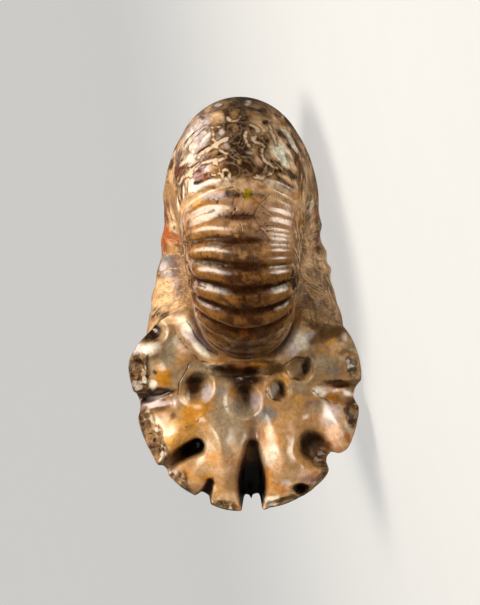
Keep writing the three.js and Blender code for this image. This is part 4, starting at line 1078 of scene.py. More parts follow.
def noise(points, size, seed=0):
    """Smooth noise from -1 to 1, with lumps of this size in millimetres."""
    at = points / size
    cell = np.floor(at)
    part = at - cell
    part = part * part * (3.0 - 2.0 * part)
    total = 0.0
    for corner in np.ndindex(2, 2, 2):
        corner = np.array(corner)
        share = np.prod(np.where(corner, part, 1.0 - part), axis=-1)
        total = total + share * lattice(cell + corner, seed)
    return 2.0 * total - 1.0


def rough_noise(points, size, seed=0):
    total = sum(share * noise(points, size / finer, seed + k) for k, (share, finer) in enumerate(OCTAVES))
    return total / sum(share for share, _ in OCTAVES)


def wander(points, seed):
    """How far an outline strays here, in millimetres."""
    return sum(reach * noise(points, size, seed + k) for k, (reach, size) in enumerate(STRAYS))


def line_gap(x, z, lines):
    """Distance to the nearest of these polylines."""
    nearest = np.full(x.shape, LINE_REACH)
    for line in lines:
        for (ax, az), (bx, bz) in zip(line, line[1:]):
            run = np.array([bx - ax, bz - az])
            place = np.clip(((x - ax) * run[0] + (z - az) * run[1]) / run.dot(run), 0.0, 1.0)
            nearest = np.minimum(nearest, np.hypot(x - ax - place * run[0], z - az - place * run[1]))
    return nearest


def frame_place(x, y, z):
    """Where points of the coil's frame lie in the camera's frame, in pixels to the right and down."""
    roll = radians(CAMERA_ROLL)
    right, up = x * np.cos(roll) - z * np.sin(roll), x * np.sin(roll) + z * np.cos(roll)
    scale = FOCAL_PIXELS / (CAMERA_DISTANCE + y)
    across, down = scale * (right - CAMERA_SIDE), scale * (CAMERA_HEIGHT - up)
    return across + FRAME_PIXELS[0] / 2.0, down + FRAME_PIXELS[1] / 2.0


def paint(tint, where, across, down, patches, palette):
    """Lays the patches over the tint where the stone is of their region."""
    for at_x, at_y, half_x, half_y, tilt, colour, *finish in patches:
        strength, soft = finish or (PATCH_STRENGTH, PATCH_SOFT)
        gap = oval(across, down, (at_x, at_y), (half_x, half_y), -tilt)
        near = where & (gap < 1.0 + soft)
        share = min(1.0, PATCH_COVER * strength) * fall(1.0 - soft, 1.0 + soft, gap[near])[:, None]
        tint[near] += (np.array(palette[colour]) - tint[near]) * share


def blend(tint, colour, share):
    """Moves the tint toward a colour by this share."""
    share = np.clip(share, 0.0, 1.0)[:, None]
    return tint + (np.asarray(colour) - tint) * share


class Paint:
    """The stone's colours and masks at each vertex."""

    def __init__(self, points, turns, places, on_septum, palette):
        self.points, self.turns, self.places, self.palette = points, turns, places, palette
        self.side = np.abs(places)
        self.septum = on_septum > 0.5
        self.own = turns < FIRST_TURN - 1.0  # the umbilical wall of older whorls
        self.front = ~self.septum & (turns < FLANK_TURN) & ~self.own
        self.flank = ~self.septum & ~self.front
        x, y, z = points.T
        self.x, self.z = x + wander(points, 1), z + wander(points, 3)
        self.place = frame_place(self.x, y, self.z)
        self.tint = self.plain("tan")
        self.wall_colours()
        self.rib_colours()
        self.septum_colours()
        self.patches(y)
        self.painted_light_shade_and_valleys()
        self.masks()

    def plain(self, name):
        return np.tile(np.array(self.palette[name], float), (len(self.points), 1))

    def coat(self, tint, *coats):
        """Lays colours over a tint in turn. Each is a colour's name and its share."""
        for name, share in coats:
            tint = blend(tint, self.palette[name], share)
        return tint

    def wall_colours(self):
        """Chambers of the outer whorl: beige with cream, mauve and brown, in streaks along its sides."""
        p, side, turns, places = self.points, self.side, self.turns, self.places
        stray = 0.8 * rough_noise(p, 6.0, 41)
        along = np.stack([places * STREAKS_ACROSS + stray, turns * STREAKS_ALONG, 0.0 * turns], -1)
        streak = 1.3 * rough_noise(along, 1.0, 44)
        sides = rise(0.16, 0.26, side) * fall(0.55, 0.72, side)
        sides = sides * rise(ARC_TURN, ARC_TURN + 5.0, turns) * fall(-168.0, -150.0, turns)
        self.tint = self.coat(
            self.tint,
            ("beige", rise(-0.1, 0.15, rough_noise(p * CHAMBER_STRETCH, 9.0, 5))),
            ("golden", 0.7 * self.front * fall(0.40, 0.52, side)),
            ("cream", 0.8 * rise(0.12, 0.3, rough_noise(p, 3.4, 8))),
            ("mauve", 0.6 * rise(0.2, 0.35, rough_noise(p, 6.0, 11))),
            ("chestnut", 0.7 * rise(0.22, 0.36, rough_noise(p, 5.0, 14))),
            ("olive", 0.8 * rise(0.2, 0.34, rough_noise(p, 7.0, 17))),
            ("cream", 0.8 * sides * rise(0.02, 0.2, streak)),
            ("lilac", 0.8 * sides * rise(0.25, 0.4, streak) * fall(-0.1, 0.1, places)),
            ("white", 0.8 * sides * rise(0.4, 0.6, streak)),
            ("golden", 0.8 * sides * rise(0.02, 0.2, -streak)),
            ("chestnut", 0.9 * sides * rise(0.2, 0.36, -streak)),
            ("olive", 0.8 * fall(0.09, 0.14, side) * rise(-250.0, -236.0, turns)),
        )

    def rib_colours(self):
        """Golden crests and dark, ragged valleys, darkest along the middle of the lower ribs."""
        p, side, turns, places = self.points, self.side, self.turns, self.places
        inside = self.front * fall(ARC_TURN - 4.0, ARC_TURN - 1.5, turns)
        low = fall(-282.0, -256.0, turns)
        broad, mottled, grain = rough_noise(p, 5.0, 20), rough_noise(p, 2.4, 31), rough_noise(p, 1.1, 35)
        ragged = rise(-0.35, 0.25, mottled + 0.5 * grain)
        middle = bell((places + 0.03) / 0.19)
        crest = rib_shape(turns, places) + 0.34 * mottled + 0.2 * grain
        valley = fall(0.22, 0.72, crest) * fall(0.36, 0.56, side) * (1.0 - 0.6 * fall(-322.0, -308.0, turns))
        bottom = fall(-312.0, -300.0, turns) * fall(0.2, 0.45, side)
        tint = self.coat(
            self.plain("tan"),
            ("golden", 0.35 + 0.65 * low + 0.6 * broad),
            ("chestnut", 0.55 * low + 0.5 * mottled),
            ("pink", 0.55 * rise(-0.25, -0.1, places) * (1.0 - low)),
            ("golden", 0.5 * rise(0.08, 0.2, places) * low),
            ("umber", (0.25 + 0.65 * low) * middle * ragged),
            ("tan", 0.6 * rise(0.36, 0.5, side) * (1.0 - 0.5 * low)),
            ("umber", valley * (0.75 + 0.25 * low)),
            ("umber", 0.5 * rise(0.3, 0.45, grain) * rise(-0.1, 0.2, broad)),
            ("brown", bottom * rise(-0.5, 0.3, mottled + 0.6 * grain)),
        )
        self.valley = valley * inside
        self.middle = middle * fall(-252.0, -245.0, turns) * inside * ragged
        self.tint = blend(self.tint, tint * RIB_WARMTH, inside)
        arc = bell((turns - ARC_TURN + 1.2) / 2.0) * fall(0.42, 0.6, side) * self.front
        self.tint = self.coat(self.tint, ("cream", 1.2 * arc))

    def septum_colours(self):
        """Grey and tan petals, with painted shade in brown where the inner whorl meets them, and a pale
        collar round it.
        """
        whorl = whorl_gap(self.x, self.z)
        collar = rise(0.10, 0.16, whorl) * fall(0.26, 0.34, whorl)
        collar = collar * rise(9.0, 12.0, np.abs(self.x)) * fall(-23.0, -19.5, self.z)
        tint = self.coat(
            self.plain("tan"),
            ("grey", 0.8 * rise(-0.2, 0.3, rough_noise(self.points, 8.0, 23))),
            ("beige", 0.6 * rise(0.0, 0.4, rough_noise(self.points, 4.0, 26))),
            ("olive", fall(0.04, 0.10, whorl)),
            ("white", 0.9 * collar),
        )
        self.tint = np.where(self.septum[:, None], tint, self.tint)

    def patches(self, depth):
        """Paints the patches. The flanks' give way to plain shell farther back."""
        ground = self.tint.copy()
        for where, patches in ((self.front, FRONT_PATCHES), (self.flank, FLANK_PATCHES),
                               (self.septum, SEPTUM_PATCHES)):
            paint(self.tint, where, *self.place, patches, self.palette)
        farther = self.flank * rise(24.0, 33.0, depth + 9.0 * rough_noise(self.points, 6.0, 51))
        self.tint = blend(self.tint, ground, farther)
        dome = self.front * rise(ARC_TURN + 1.0, ARC_TURN + 4.0, self.turns)
        light = np.clip(self.tint.mean(1) / MIDDLE_TONE, 0.25, 2.2)
        self.tint *= (light ** (DOME_CONTRAST * dome + FLANK_CONTRAST * self.flank))[:, None]

    def painted_light_shade_and_valleys(self):
        """Lower petals painted lighter toward the venter, as painted light; lobes and pits darken with depth,
        as painted shade; rib valleys darken too.
        """
        x, _, z = self.points.T
        low = fall(-60.0, -48.0, z) * self.septum
        self.sunk = sum(lobe_depth(lobe, x, z) for lobe in LOBES)
        shaded = self.septum * (1.0 - 0.6 * fall(0.7, 1.3, oval(*self.place, LIT_CAVE, LIT_HALF)))
        pale_flank = 0.2 * self.flank * rise(-60.0, -10.0, self.z) * fall(0.0, 8.0, self.z)
        hole = pit_depth(LOWER_PIT, x, z) * self.septum
        # Painted light: the lower petals, toward the venter, are painted lighter.
        tint = self.coat(self.tint, ("cream", 0.12 * low)) * (1.0 + 0.3 * low)[:, None]
        # Painted shade: umber, then black, deeper in the lobes, weaker in the lit cave on the right.
        tint = self.coat(
            tint,
            ("umber", 0.9 * rise(3.5, 8.0, self.sunk) * shaded),
            ("black", rise(7.5, 11.0, self.sunk) * shaded),
        )
        # Black in the lower pit is painted shade; umber goes into the rib valleys and brown along the ribs'
        # middle.
        self.tint = self.coat(
            tint * (1.0 + pale_flank)[:, None],
            ("umber", 0.6 * self.valley),
            ("brown", 0.55 * self.middle),
            ("black", rise(1.5, 4.0, hole)),
        )

    def line_gaps(self, *drawn):
        """Distance in millimetres to the nearest line, from pairs of a region and its lines."""
        pixel = (CAMERA_DISTANCE + self.points[:, 1]) / FOCAL_PIXELS
        gaps = pixel * LINE_REACH
        for where, lines in drawn:
            gaps = np.where(where, pixel * line_gap(*self.place, lines), gaps)
        return gaps

    def masks(self):
        """Where each vein, line and finish of the material shows."""
        x, z, side, turns, septum = self.x, self.z, self.side, self.turns, self.septum
        self.pale = self.line_gaps((self.front, FRONT_WALLS))
        self.dark = self.line_gaps(
            (self.front, FRONT_GROOVES), (self.flank, FLANK_GROOVES), (septum, SEPTUM_GROOVES))
        self.crack = self.line_gaps((septum, SEPTUM_CRACKS))
        ribbed = self.front & (turns < ARC_TURN - 2.0)
        right = rise(-0.1, 0.1, self.places)
        streaked = 0.2 + 0.3 * right + 0.35 * rise(-175.0, -120.0, turns) * rise(-20.0, 0.0, turns)
        self.veined = np.where(self.flank, streaked, 0.0) * rise(0.16, 0.3, side)
        self.veined = np.where(self.front & ~ribbed, 0.3, self.veined)
        self.sutured = np.where(self.flank & ~self.own, 1.0, 0.0) * rise(-186.0, -178.0, turns)
        self.broken = broken(self.points[:, 0], self.points[:, 2]) * septum
        contact = septum * fall(0.8, 1.2, oval(x, z, CONTACT_AT, CONTACT_HALF))
        shoulder = septum * fall(0.8, 1.2, oval(x, z, SHOULDER_AT, SHOULDER_HALF, SHOULDER_TILT))
        umbilical = 0.55 * self.flank * rise(0.55, 0.7, side)
        self.matt = np.maximum.reduce([0.7 * self.broken, contact, shoulder, umbilical])
        self.satin = np.maximum(septum * fall(2.0, 5.0, self.sunk), 0.3 * ribbed)
        self.dull = np.maximum(self.matt, self.valley)
        above = self.front * rise(ARC_TURN + 2.0, ARC_TURN + 5.0, turns)
        self.marbled = above * (0.42 - 0.25 * fall(0.08, 0.15, side)) + 0.5 * self.flank * right
        self.marbled = self.marbled + 0.7 * ribbed * rise(0.36, 0.46, side)
        self.speckled = np.where(ribbed, 1.0, 0.35)


# --- materials ------------------------------------------------------------------------------------
MOTTLE_DARK, MOTTLE_LIGHT = (0.80, 0.77, 0.74), (1.14, 1.15, 1.16)
STAIN = (0.95, 0.66, 0.38)
SUTURE_STEP = 15.0  # degrees of turn from one hidden suture to the next
SUTURE_LOBES = ((17.0, 2.6), (43.0, 1.7))  # waves round the whorl, and their height in degrees
SUTURE_FRILL = 16.0
STONE_IOR = 1.6
SPECULAR, SPECULAR_LOSS = 0.5, -0.47
SURFACE_BUMP, LINE_BUMP = 0.002, 0.00015


class Graph:
    """Adds nodes to a material and links them. Its colour is what has been laid so far."""

    def __init__(self, name, palette=None):
        self.material = bpy.data.materials.new(name)
        self.material.use_nodes = True
        self.nodes = self.material.node_tree.nodes
        self.links = self.material.node_tree.links
        self.shader = self.nodes["Principled BSDF"]
        self.palette = palette
        self.colour = None

    def feed(self, socket, value):
        if isinstance(value, bpy.types.NodeSocket):
            self.links.new(value, socket)
        else:
            socket.default_value = value

    def shade(self, **given):
        """Sets or links the shader's sockets, named with underscores for spaces."""
        for name, value in given.items():
            self.feed(self.shader.inputs[name.replace("_", " ")], value)

    def attribute(self, name, output="Fac"):
        node = self.nodes.new("ShaderNodeAttribute")
        node.attribute_name = name
        return node.outputs[output]

    def math(self, operation, first, second=0.0, third=0.0):
        node = self.nodes.new("ShaderNodeMath")
        node.operation = operation
        for socket, value in zip(node.inputs, (first, second, third)):
            self.feed(socket, value)
        return node.outputs[0]

    def times(self, first, second):
        return self.math("MULTIPLY", first, second)

    def plus(self, value, times, rest):
        """value * times + rest"""
        return self.math("MULTIPLY_ADD", value, times, rest)

    def off(self, value, level=0.5):
        """value - level"""
        return self.math("SUBTRACT", value, level)

    def away(self, value, level=0.5):
        """How far the value is from the level."""
        return self.math("ABSOLUTE", self.off(value, level))

    def noise(self, size, detail=4.0, roughness=0.55, stretch=(1.0, 1.0, 1.0), twist=0.0):
        """Noise with lumps of this size in metres, stretched along the part's axes."""
        coordinates = self.nodes.new("ShaderNodeTexCoord")
        mapping = self.nodes.new("ShaderNodeMapping")
        self.links.new(coordinates.outputs["Object"], mapping.inputs["Vector"])
        mapping.inputs["Scale"].default_value = [1.0 / (size * s) for s in stretch]
        node = self.nodes.new("ShaderNodeTexNoise")
        self.links.new(mapping.outputs["Vector"], node.inputs["Vector"])
        given = {"Scale": 1.0, "Detail": detail, "Roughness": roughness, "Distortion": twist}
        for name, value in given.items():
            node.inputs[name].default_value = value
        return node.outputs["Fac"]

    def cells(self, size):
        """Cells of this size in metres: a random shade for each, and the distance to its edge."""
        found = []
        for feature, output in (("F1", "Color"), ("DISTANCE_TO_EDGE", "Distance")):
            coordinates = self.nodes.new("ShaderNodeTexCoord")
            node = self.nodes.new("ShaderNodeTexVoronoi")
            node.feature = feature
            self.links.new(coordinates.outputs["Object"], node.inputs["Vector"])
            node.inputs["Scale"].default_value = 1.0 / size
            found.append(node.outputs[output])
        split = self.nodes.new("ShaderNodeSeparateColor")
        self.links.new(found[0], split.inputs["Color"])
        return split.outputs["Red"], found[1]

    def ramp(self, value, start, end, low=0.0, high=1.0):
        """Goes smoothly from low to high as the value goes from start to end."""
        node = self.nodes.new("ShaderNodeMapRange")
        node.interpolation_type = "SMOOTHSTEP"
        for socket, given in zip(node.inputs, (value, start, end, low, high)):
            self.feed(socket, given)
        return node.outputs["Result"]

    def colour_of(self, colour):
        """A socket as it is, a colour's name as its value, and a value with its alpha."""
        if isinstance(colour, bpy.types.NodeSocket):
            return colour
        return (*(self.palette[colour] if isinstance(colour, str) else colour), 1.0)

    def mix(self, share, first, second, blend_type="MIX"):
        node = self.nodes.new("ShaderNodeMix")
        node.data_type = "RGBA"
        node.blend_type = blend_type
        for socket, value in ((node.inputs[0], share), (node.inputs[6], self.colour_of(first)),
                              (node.inputs[7], self.colour_of(second))):
            self.feed(socket, value)
        return node.outputs[2]

    def lay(self, share, colour, blend_type="MIX"):
        """Lays a colour over what there is."""
        self.colour = self.mix(share, self.colour, colour, blend_type)

    def bump(self, height, distance, normal=None):
        node = self.nodes.new("ShaderNodeBump")
        node.inputs["Distance"].default_value = distance
        self.links.new(height, node.inputs["Height"])
        if normal is not None:
            self.links.new(normal, node.inputs["Normal"])
        return node.outputs["Normal"]


def lay_mottling(g, fine, dull):
    """Mottling in two sizes, specks, and a net of fine cracks."""
    g.lay(1.0, g.mix(g.ramp(fine, 0.32, 0.68), MOTTLE_DARK, MOTTLE_LIGHT), "MULTIPLY")
    stain = g.ramp(g.noise(0.006, 5.0, 0.6, twist=0.6), 0.5, 0.7, 0.0, 0.12)
    g.lay(stain, g.mix(1.0, g.colour, STAIN, "MULTIPLY"))
    speckled = g.attribute("speckled")
    specks = g.times(g.ramp(g.plus(dull, 0.12, g.noise(0.0009, 3.0)), 0.6, 0.68), speckled)
    g.lay(g.times(specks, 0.6), "umber")
    net = g.times(g.ramp(g.cells(0.0062)[1], 0.01, 0.035, 0.6, 0.0), g.ramp(g.noise(0.008, 2.0), 0.48, 0.56))
    g.lay(g.times(net, speckled), "umber")


def lay_facets(g):
    """Facets of the broken border: dark, brown and pale, with pale edges."""
    shade, edge = g.cells(0.0021)
    facet = g.mix(g.ramp(shade, 0.3, 0.4), "umber", "olive")
    facet = g.mix(g.ramp(shade, 0.55, 0.62), facet, "tan")
    facet = g.mix(g.ramp(shade, 0.84, 0.9), facet, "white")
    facet = g.mix(g.ramp(edge, 0.02, 0.08, 0.5, 0.0), facet, "beige")
    g.lay(g.times(g.attribute("broken"), 0.75), facet)


def lay_veins(g):
    """Dark and pale veins of the flanks."""
    veined = g.attribute("veined")
    ridge = g.away(g.noise(0.0065, 4.0, 0.6, twist=1.2))
    g.lay(g.times(g.ramp(ridge, 0.012, 0.05, 0.75, 0.0), veined), "brown")
    ridge = g.away(g.noise(0.009, 4.0, 0.6, stretch=(1.0, 1.1, 0.9), twist=1.6), 0.47)
    g.lay(g.times(g.ramp(ridge, 0.01, 0.04, 0.7, 0.0), veined), "cream")


def lay_sutures(g, place):
    """Sutures of the hidden side, round the whorl at even turns."""
    lobes = [g.times(g.math("SINE", g.times(place, waves)), height) for waves, height in SUTURE_LOBES]
    frill = g.times(g.off(g.noise(0.004, 4.0, 0.65)), SUTURE_FRILL)
    phase = g.math("ADD", g.attribute("turn"), g.math("ADD", *lobes))
    seam = g.away(g.math("FRACT", g.math("DIVIDE", g.math("ADD", phase, frill), SUTURE_STEP)))
    sutured = g.attribute("sutured")
    g.lay(g.times(g.ramp(seam, 0.05, 0.085, 0.8, 0.0), sutured), "brown")
    g.lay(g.times(g.ramp(seam, 0.025, 0.045, 1.0, 0.0), sutured), "cream")


def lay_marbling(g, fine, place):
    """Nested lines of the chambers."""
    marbled, right = g.attribute("marbled"), g.ramp(place, -0.12, 0.12)
    bands = g.math("SINE", g.times(g.noise(0.014, 3.0, 0.5, stretch=(1.0, 0.8, 0.6), twist=0.8), 38.0))
    dim = g.mix(g.ramp(fine, 0.45, 0.6), "umber", g.mix(right, "mauve", "olive"))
    g.lay(g.times(g.ramp(bands, -0.6, 0.0, 0.8, 0.0), marbled), dim)
    bright = g.mix(right, "lilac", g.mix(g.ramp(fine, 0.45, 0.65), "cream", "white"))
    g.lay(g.times(g.ramp(bands, 0.6, 0.95, 0.0, 0.75), marbled), bright)


def lay_lines(g, fine):
    """Walls of the sutures, with brown outlines; then grooves and cracks, which it returns."""
    warp, broad = g.off(g.noise(0.0011, 3.0)), g.off(g.noise(0.0035, 3.0))
    pale = g.plus(warp, 1.2, g.plus(broad, 1.7, g.attribute("pale")))
    g.lay(g.ramp(pale, 0.5, 1.3, 0.75, 0.0), "brown")
    wall_tone = g.mix(g.ramp(fine, 0.35, 0.65), "beige", "cream")
    wall_tone = g.mix(g.ramp(pale, 0.1, 0.4, 0.6, 0.0), wall_tone, "white")
    g.lay(g.ramp(pale, 0.2, 0.65, 0.92, 0.0), wall_tone)
    groove = g.ramp(g.plus(warp, 0.8, g.plus(broad, 0.8, g.attribute("dark"))), 0.02, 0.36, 0.85, 0.0)
    g.lay(groove, "brown")
    crack = g.ramp(g.plus(warp, 0.25, g.attribute("crack")), 0.08, 0.3, 0.85, 0.0)
    g.lay(crack, "umber")
    return groove, crack


def stone_material(palette, gloss):
    """Polished stone: painted tint and lines with mottling, dull where it is rough."""
    g = Graph("fossil_stone", palette)
    g.colour = g.attribute("tint", "Color")
    matt, dull, place = g.attribute("matt"), g.attribute("dull"), g.attribute("place")
    fine = g.noise(0.0016, 6.0, 0.6)
    lay_mottling(g, fine, dull)
    lay_facets(g)
    lay_veins(g)
    lay_sutures(g, place)
    lay_marbling(g, fine, place)
    groove, crack = lay_lines(g, fine)
    rough = g.plus(matt, 0.42, g.plus(g.attribute("satin"), 0.05, gloss))
    surface = g.bump(g.times(g.plus(matt, 1.0, 0.05), g.noise(0.0014, 5.0, 0.65)), SURFACE_BUMP)
    cuts = g.math("ADD", g.times(groove, -1.0), g.times(crack, -1.0))
    g.shade(
        Base_Color=g.colour,
        Roughness=g.plus(g.ramp(fine, 0.3, 0.7), 0.08, rough),
        IOR=STONE_IOR,
        Specular_IOR_Level=g.plus(dull, SPECULAR_LOSS, SPECULAR),
        Normal=g.bump(cuts, LINE_BUMP, surface),
    )
    return g.material


# --- objects --------------------------------------------------------------------------------------
def add_object(name, data):
    made = bpy.data.objects.new(name, data)
    bpy.context.scene.collection.objects.link(made)
    return made


def mesh_object(name, points, faces):
    mesh = bpy.data.meshes.new(name)
    mesh.from_pydata(np.asarray(points).tolist(), [], faces)
    mesh.validate()
    mesh.polygons.foreach_set("use_smooth", np.ones(len(mesh.polygons), bool))
    return add_object(name, mesh)


@lru_cache
def fossil():
    """The skin, its points and faces, and how it is placed."""
    skin = ammonite_skin()
    points, faces = np.concatenate(skin.points), skin.faces()
    return skin, points, faces, Placing(points[np.unique(faces)])


def build_ammonite(settings):
    """Makes the fossil's object with its paint as vertex attributes."""
    skin, points, faces, placing = fossil()
    used = np.unique(faces)
    order = np.full(len(points), -1)
    order[used] = np.arange(len(used))
    made = mesh_object("ammonite_surface", placing.point(points[used]), order[faces].tolist())
    palette = {name: tuple(getattr(settings, name)) for name in COLOURS}
    turns, places, septum = (np.concatenate(rows)[used] for rows in (skin.turns, skin.places, skin.septum))
    look = Paint(points[used], turns, places, septum, palette)
    rgba = np.concatenate([np.clip(look.tint, 0.0, 1.0), np.ones((len(used), 1))], 1)
    layer = made.data.attributes.new("tint", "FLOAT_COLOR", "POINT")
    layer.data.foreach_set("color", rgba.astype(np.float32).ravel())
    masks = [(name, getattr(look, name)) for name in MASKS]
    for name, values in (("turn", turns), ("place", places), *masks):
        layer = made.data.attributes.new(name, "FLOAT", "POINT")
        layer.data.foreach_set("value", np.asarray(values, np.float32))
    made.data.materials.append(stone_material(palette, settings.gloss))
    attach(made, "root")
    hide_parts("ammonite")


# --- stage ----------------------------------------------------------------------------------------
WARM, NEUTRAL = (1.0, 0.93, 0.80), (1.0, 0.98, 0.95)
# Name; the setting of its power; azimuth and elevation in degrees; distance and size in metres; colour;
# whether it shows in the gloss.
SOFTBOXES = (
    ("softbox_left", "left_power", -74.0, 8.0, 0.6, (0.96, 0.50), WARM, True),
    ("softbox_front", "front_power", -44.0, 2.0, 0.8, (0.80, 0.60), WARM, True),
    ("softbox_right", "right_power", 77.0, 6.0, 0.6, (0.62, 0.26), WARM, True),
    ("fill", "fill_power", 30.0, -12.0, 0.9, (0.7, 0.7), NEUTRAL, False),
    ("fill_top", "top_power", 180.0, 84.0, 0.9, (0.7, 0.7), NEUTRAL, False),
    ("fill_back", "back_power", 160.0, 10.0, 0.9, (0.9, 0.5), WARM, False),
)
SOFTBOX_FADE = (0.12, 0.5, 1.0, 0.0)  # full strength within 0.12 of its middle, and none at its edge
NEAREST_SEEN, FARTHEST_SEEN = 0.01, 20.0
FLOOR_RADIUS, SWEEP_RADIUS, WALL_HEIGHT = 1.2, 0.6, 2.2
SWEEP_STEPS, FLOOR_SIDES = 16, 72
FLOOR_GLOW, FLOOR_SHARE = 0.66, 0.22  # the paper's own even glow, and how much light it gives back
PAPER_GRAIN, PAPER_SHADE = 0.02, 0.97
PAPER_ROUGHNESS, PAPER_SPECULAR = 0.9, 0.1


class View:
    """Directions of the picture: to its right, up it and toward the camera."""

    def __init__(self, placing):
        roll = radians(CAMERA_ROLL)
        right = np.array([np.cos(roll), 0.0, -np.sin(roll)])
        up = np.array([np.sin(roll), 0.0, np.cos(roll)])
        near = np.array([0.0, -1.0, 0.0])
        self.right, self.up, self.near = (placing.direction(d) for d in (right, up, near))
        middle = CAMERA_SIDE * right + CAMERA_HEIGHT * up
        self.middle = Vector(placing.point(middle))
        self.eye = Vector(placing.point(middle + CAMERA_DISTANCE * near))

    def direction(self, azimuth, elevation):
        """0, 0 points at the camera; azimuth turns toward the picture's right, elevation up it."""
        a, e = radians(azimuth), radians(elevation)
        level = self.right * (np.sin(a) * np.cos(e)) + self.near * (np.cos(a) * np.cos(e))
        return level + self.up * np.sin(e)


def facing(place, right, up, back):
    return Matrix.Translation(place) @ Matrix((right, up, back)).transposed().to_4x4()


def add_camera(view):
    data = bpy.data.cameras.new("camera")
    data.sensor_width = SENSOR
    data.lens = FOCAL_PIXELS / FRAME_PIXELS[1] * SENSOR
    data.clip_start, data.clip_end = NEAREST_SEEN, FARTHEST_SEEN
    made = add_object("camera", data)
    made.matrix_world = facing(view.eye, view.right, view.up, view.near)
    bpy.context.scene.camera = made


def add_softbox(name, view, azimuth, elevation, distance, size, power, colour):
    """A rectangular light that is brightest in its middle and fades toward its edges."""
    data = bpy.data.lights.new(name, "AREA")
    data.shape = "RECTANGLE"
    data.size, data.size_y = size
    data.energy = power
    data.color = colour
    data.use_nodes = True
    nodes, links = data.node_tree.nodes, data.node_tree.links
    place = nodes.new("ShaderNodeNewGeometry")
    offset = nodes.new("ShaderNodeVectorMath")
    offset.operation = "DISTANCE"
    offset.inputs[1].default_value = (0.5, 0.5, 0.0)
    fade = nodes.new("ShaderNodeMapRange")
    fade.interpolation_type = "SMOOTHSTEP"
    for socket, value in zip(fade.inputs[1:5], SOFTBOX_FADE):
        socket.default_value = value
    links.new(place.outputs["Parametric"], offset.inputs[0])
    links.new(offset.outputs["Value"], fade.inputs["Value"])
    links.new(fade.outputs["Result"], nodes["Emission"].inputs["Strength"])
    made = add_object(name, data)
    back = view.direction(azimuth, elevation)
    across = view.up.cross(back).normalized()
    made.matrix_world = facing(view.middle + back * distance, across, back.cross(across), back)
    made.visible_camera = False
    return made


def add_floor(colour):
    """A pale round floor that sweeps up into a backdrop all round the fossil."""
    profile = [(FLOOR_RADIUS + SWEEP_RADIUS * np.sin(a), SWEEP_RADIUS * (1.0 - np.cos(a)))
               for a in np.linspace(0.0, pi / 2, SWEEP_STEPS + 1)]
    profile.append((FLOOR_RADIUS + SWEEP_RADIUS, WALL_HEIGHT))
    round_angles = np.arange(FLOOR_SIDES) * 2.0 * pi / FLOOR_SIDES
    points = [(r * np.cos(a), r * np.sin(a), z) for r, z in profile for a in round_angles]
    faces = [tuple(range(FLOOR_SIDES))]
    for i in range((len(profile) - 1) * FLOOR_SIDES):
        after = i + 1 if (i + 1) % FLOOR_SIDES else i + 1 - FLOOR_SIDES
        faces.append((i, i + FLOOR_SIDES, after + FLOOR_SIDES, after))
    made = mesh_object("floor", points, faces)
    g = Graph("floor_paper")
    lit = [FLOOR_SHARE * c for c in colour]
    grain = g.ramp(g.noise(PAPER_GRAIN, 3.0), 0.3, 0.7)
    g.shade(
        Base_Color=g.mix(grain, [PAPER_SHADE * c for c in lit], lit),
        Roughness=PAPER_ROUGHNESS,
        Emission_Color=(*colour, 1.0),
        Emission_Strength=FLOOR_GLOW,
        Specular_IOR_Level=PAPER_SPECULAR,
    )
    made.data.materials.append(g.material)
    made.visible_shadow = made.visible_glossy = made.visible_diffuse = False


def build_stage(settings, placing):
    """Sets up the camera, floor, lights and even background light."""
    view = View(placing)
    add_camera(view)
    add_floor(tuple(settings.floor_colour))
    for name, power, azimuth, elevation, distance, size, colour, glossy in SOFTBOXES:
        made = add_softbox(name, view, azimuth, elevation, distance, size, getattr(settings, power), colour)
        made.visible_glossy = glossy
    world = bpy.data.worlds.new("studio")
    bpy.context.scene.world = world
    world.use_nodes = True
    background = world.node_tree.nodes["Background"]
    background.inputs["Color"].default_value = (*NEUTRAL, 1.0)
    background.inputs["Strength"].default_value = settings.ambient
    bpy.context.scene.view_settings.view_transform = "Standard"
    bpy.context.scene.view_settings.look = "None"


# --- the add-on -----------------------------------------------------------------------------------
def colour_property(name, default, description):
    return bpy.props.FloatVectorProperty(
        name=name.capitalize(), description=description, default=default, size=3, min=0.0, max=1.0,
        subtype="COLOR")


def power_property(name, description, watts):
    return bpy.props.FloatProperty(name=name, description=description, default=watts, min=0.0, unit="POWER")


class AmmoniteSettings(bpy.types.PropertyGroup):
    """Colours and finish of the stone."""

    gloss: bpy.props.FloatProperty(
        name="Gloss roughness", description="Roughness of the polished stone", default=0.13,
        min=0.02, max=1.0, subtype="FACTOR")
    __annotations__.update(
        {name: colour_property(name, colour, words) for name, (colour, words) in COLOURS.items()})


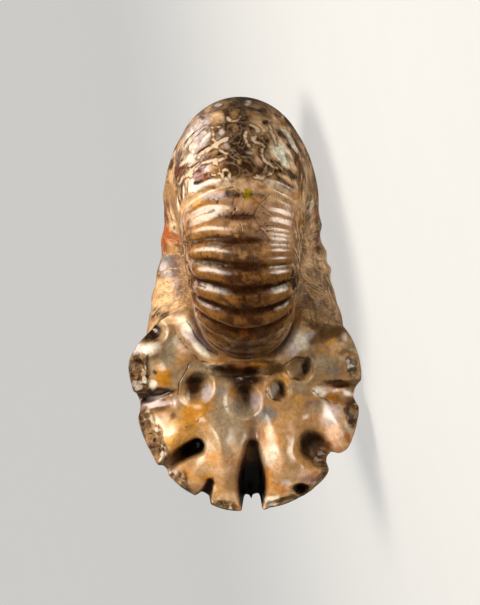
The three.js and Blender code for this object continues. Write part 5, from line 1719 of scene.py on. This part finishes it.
class AmmoniteStageSettings(bpy.types.PropertyGroup):
    """Floor and lights."""

    floor_colour: colour_property("floor", (0.86, 0.85, 0.83), "Colour of the floor and backdrop")
    left_power: power_property("Left softbox", "Power of the large softbox", 20.0)
    front_power: power_property("Front softbox", "Power of the softbox beside the camera", 13.0)
    right_power: power_property("Right softbox", "Power of the narrow softbox", 7.0)
    fill_power: power_property("Fill", "Power of the fill light", 6.5)
    top_power: power_property("Top fill", "Power of the fill light above", 4.5)
    back_power: power_property("Back fill", "Power of the fill light behind", 9.0)
    ambient: bpy.props.FloatProperty(
        name="Ambient", description="Strength of the even light from all sides", default=0.05, min=0.0)


class AMMONITE_OT_build(bpy.types.Operator):
    """Builds the ammonite's surface and its stone"""

    bl_idname = "ammonite.build"
    bl_label = "Build ammonite"

    def execute(self, context):
        build_ammonite(context.scene.ammonite)
        return {"FINISHED"}


class AMMONITE_OT_stage(bpy.types.Operator):
    """Adds the floor, the softboxes and the camera"""

    bl_idname = "ammonite.stage"
    bl_label = "Build stage"

    def execute(self, context):
        build_stage(context.scene.ammonite_stage, fossil()[3])
        return {"FINISHED"}


class AMMONITE_PT_panel(bpy.types.Panel):
    """Lists the steps and their settings"""

    bl_label = "Ammonite"
    bl_idname = "AMMONITE_PT_panel"
    bl_space_type = "VIEW_3D"
    bl_region_type = "UI"
    bl_category = "Ammonite"

    def draw(self, context):
        for step, settings, names in (
            ("ammonite.build", context.scene.ammonite, AmmoniteSettings.__annotations__),
            ("ammonite.stage", context.scene.ammonite_stage, AmmoniteStageSettings.__annotations__),
        ):
            self.layout.operator(step)
            for name in names:
                self.layout.prop(settings, name)


CLASSES = (AmmoniteSettings, AmmoniteStageSettings, AMMONITE_OT_build, AMMONITE_OT_stage, AMMONITE_PT_panel)


def register():
    for cls in CLASSES:
        bpy.utils.register_class(cls)
    bpy.types.Scene.ammonite = bpy.props.PointerProperty(type=AmmoniteSettings)
    bpy.types.Scene.ammonite_stage = bpy.props.PointerProperty(type=AmmoniteStageSettings)


def unregister():
    del bpy.types.Scene.ammonite_stage
    del bpy.types.Scene.ammonite
    for cls in reversed(CLASSES):
        bpy.utils.unregister_class(cls)


def main():
    register()
    bpy.ops.ammonite.build()
    bpy.ops.ammonite.stage()


if __name__ == "__main__":
    main()
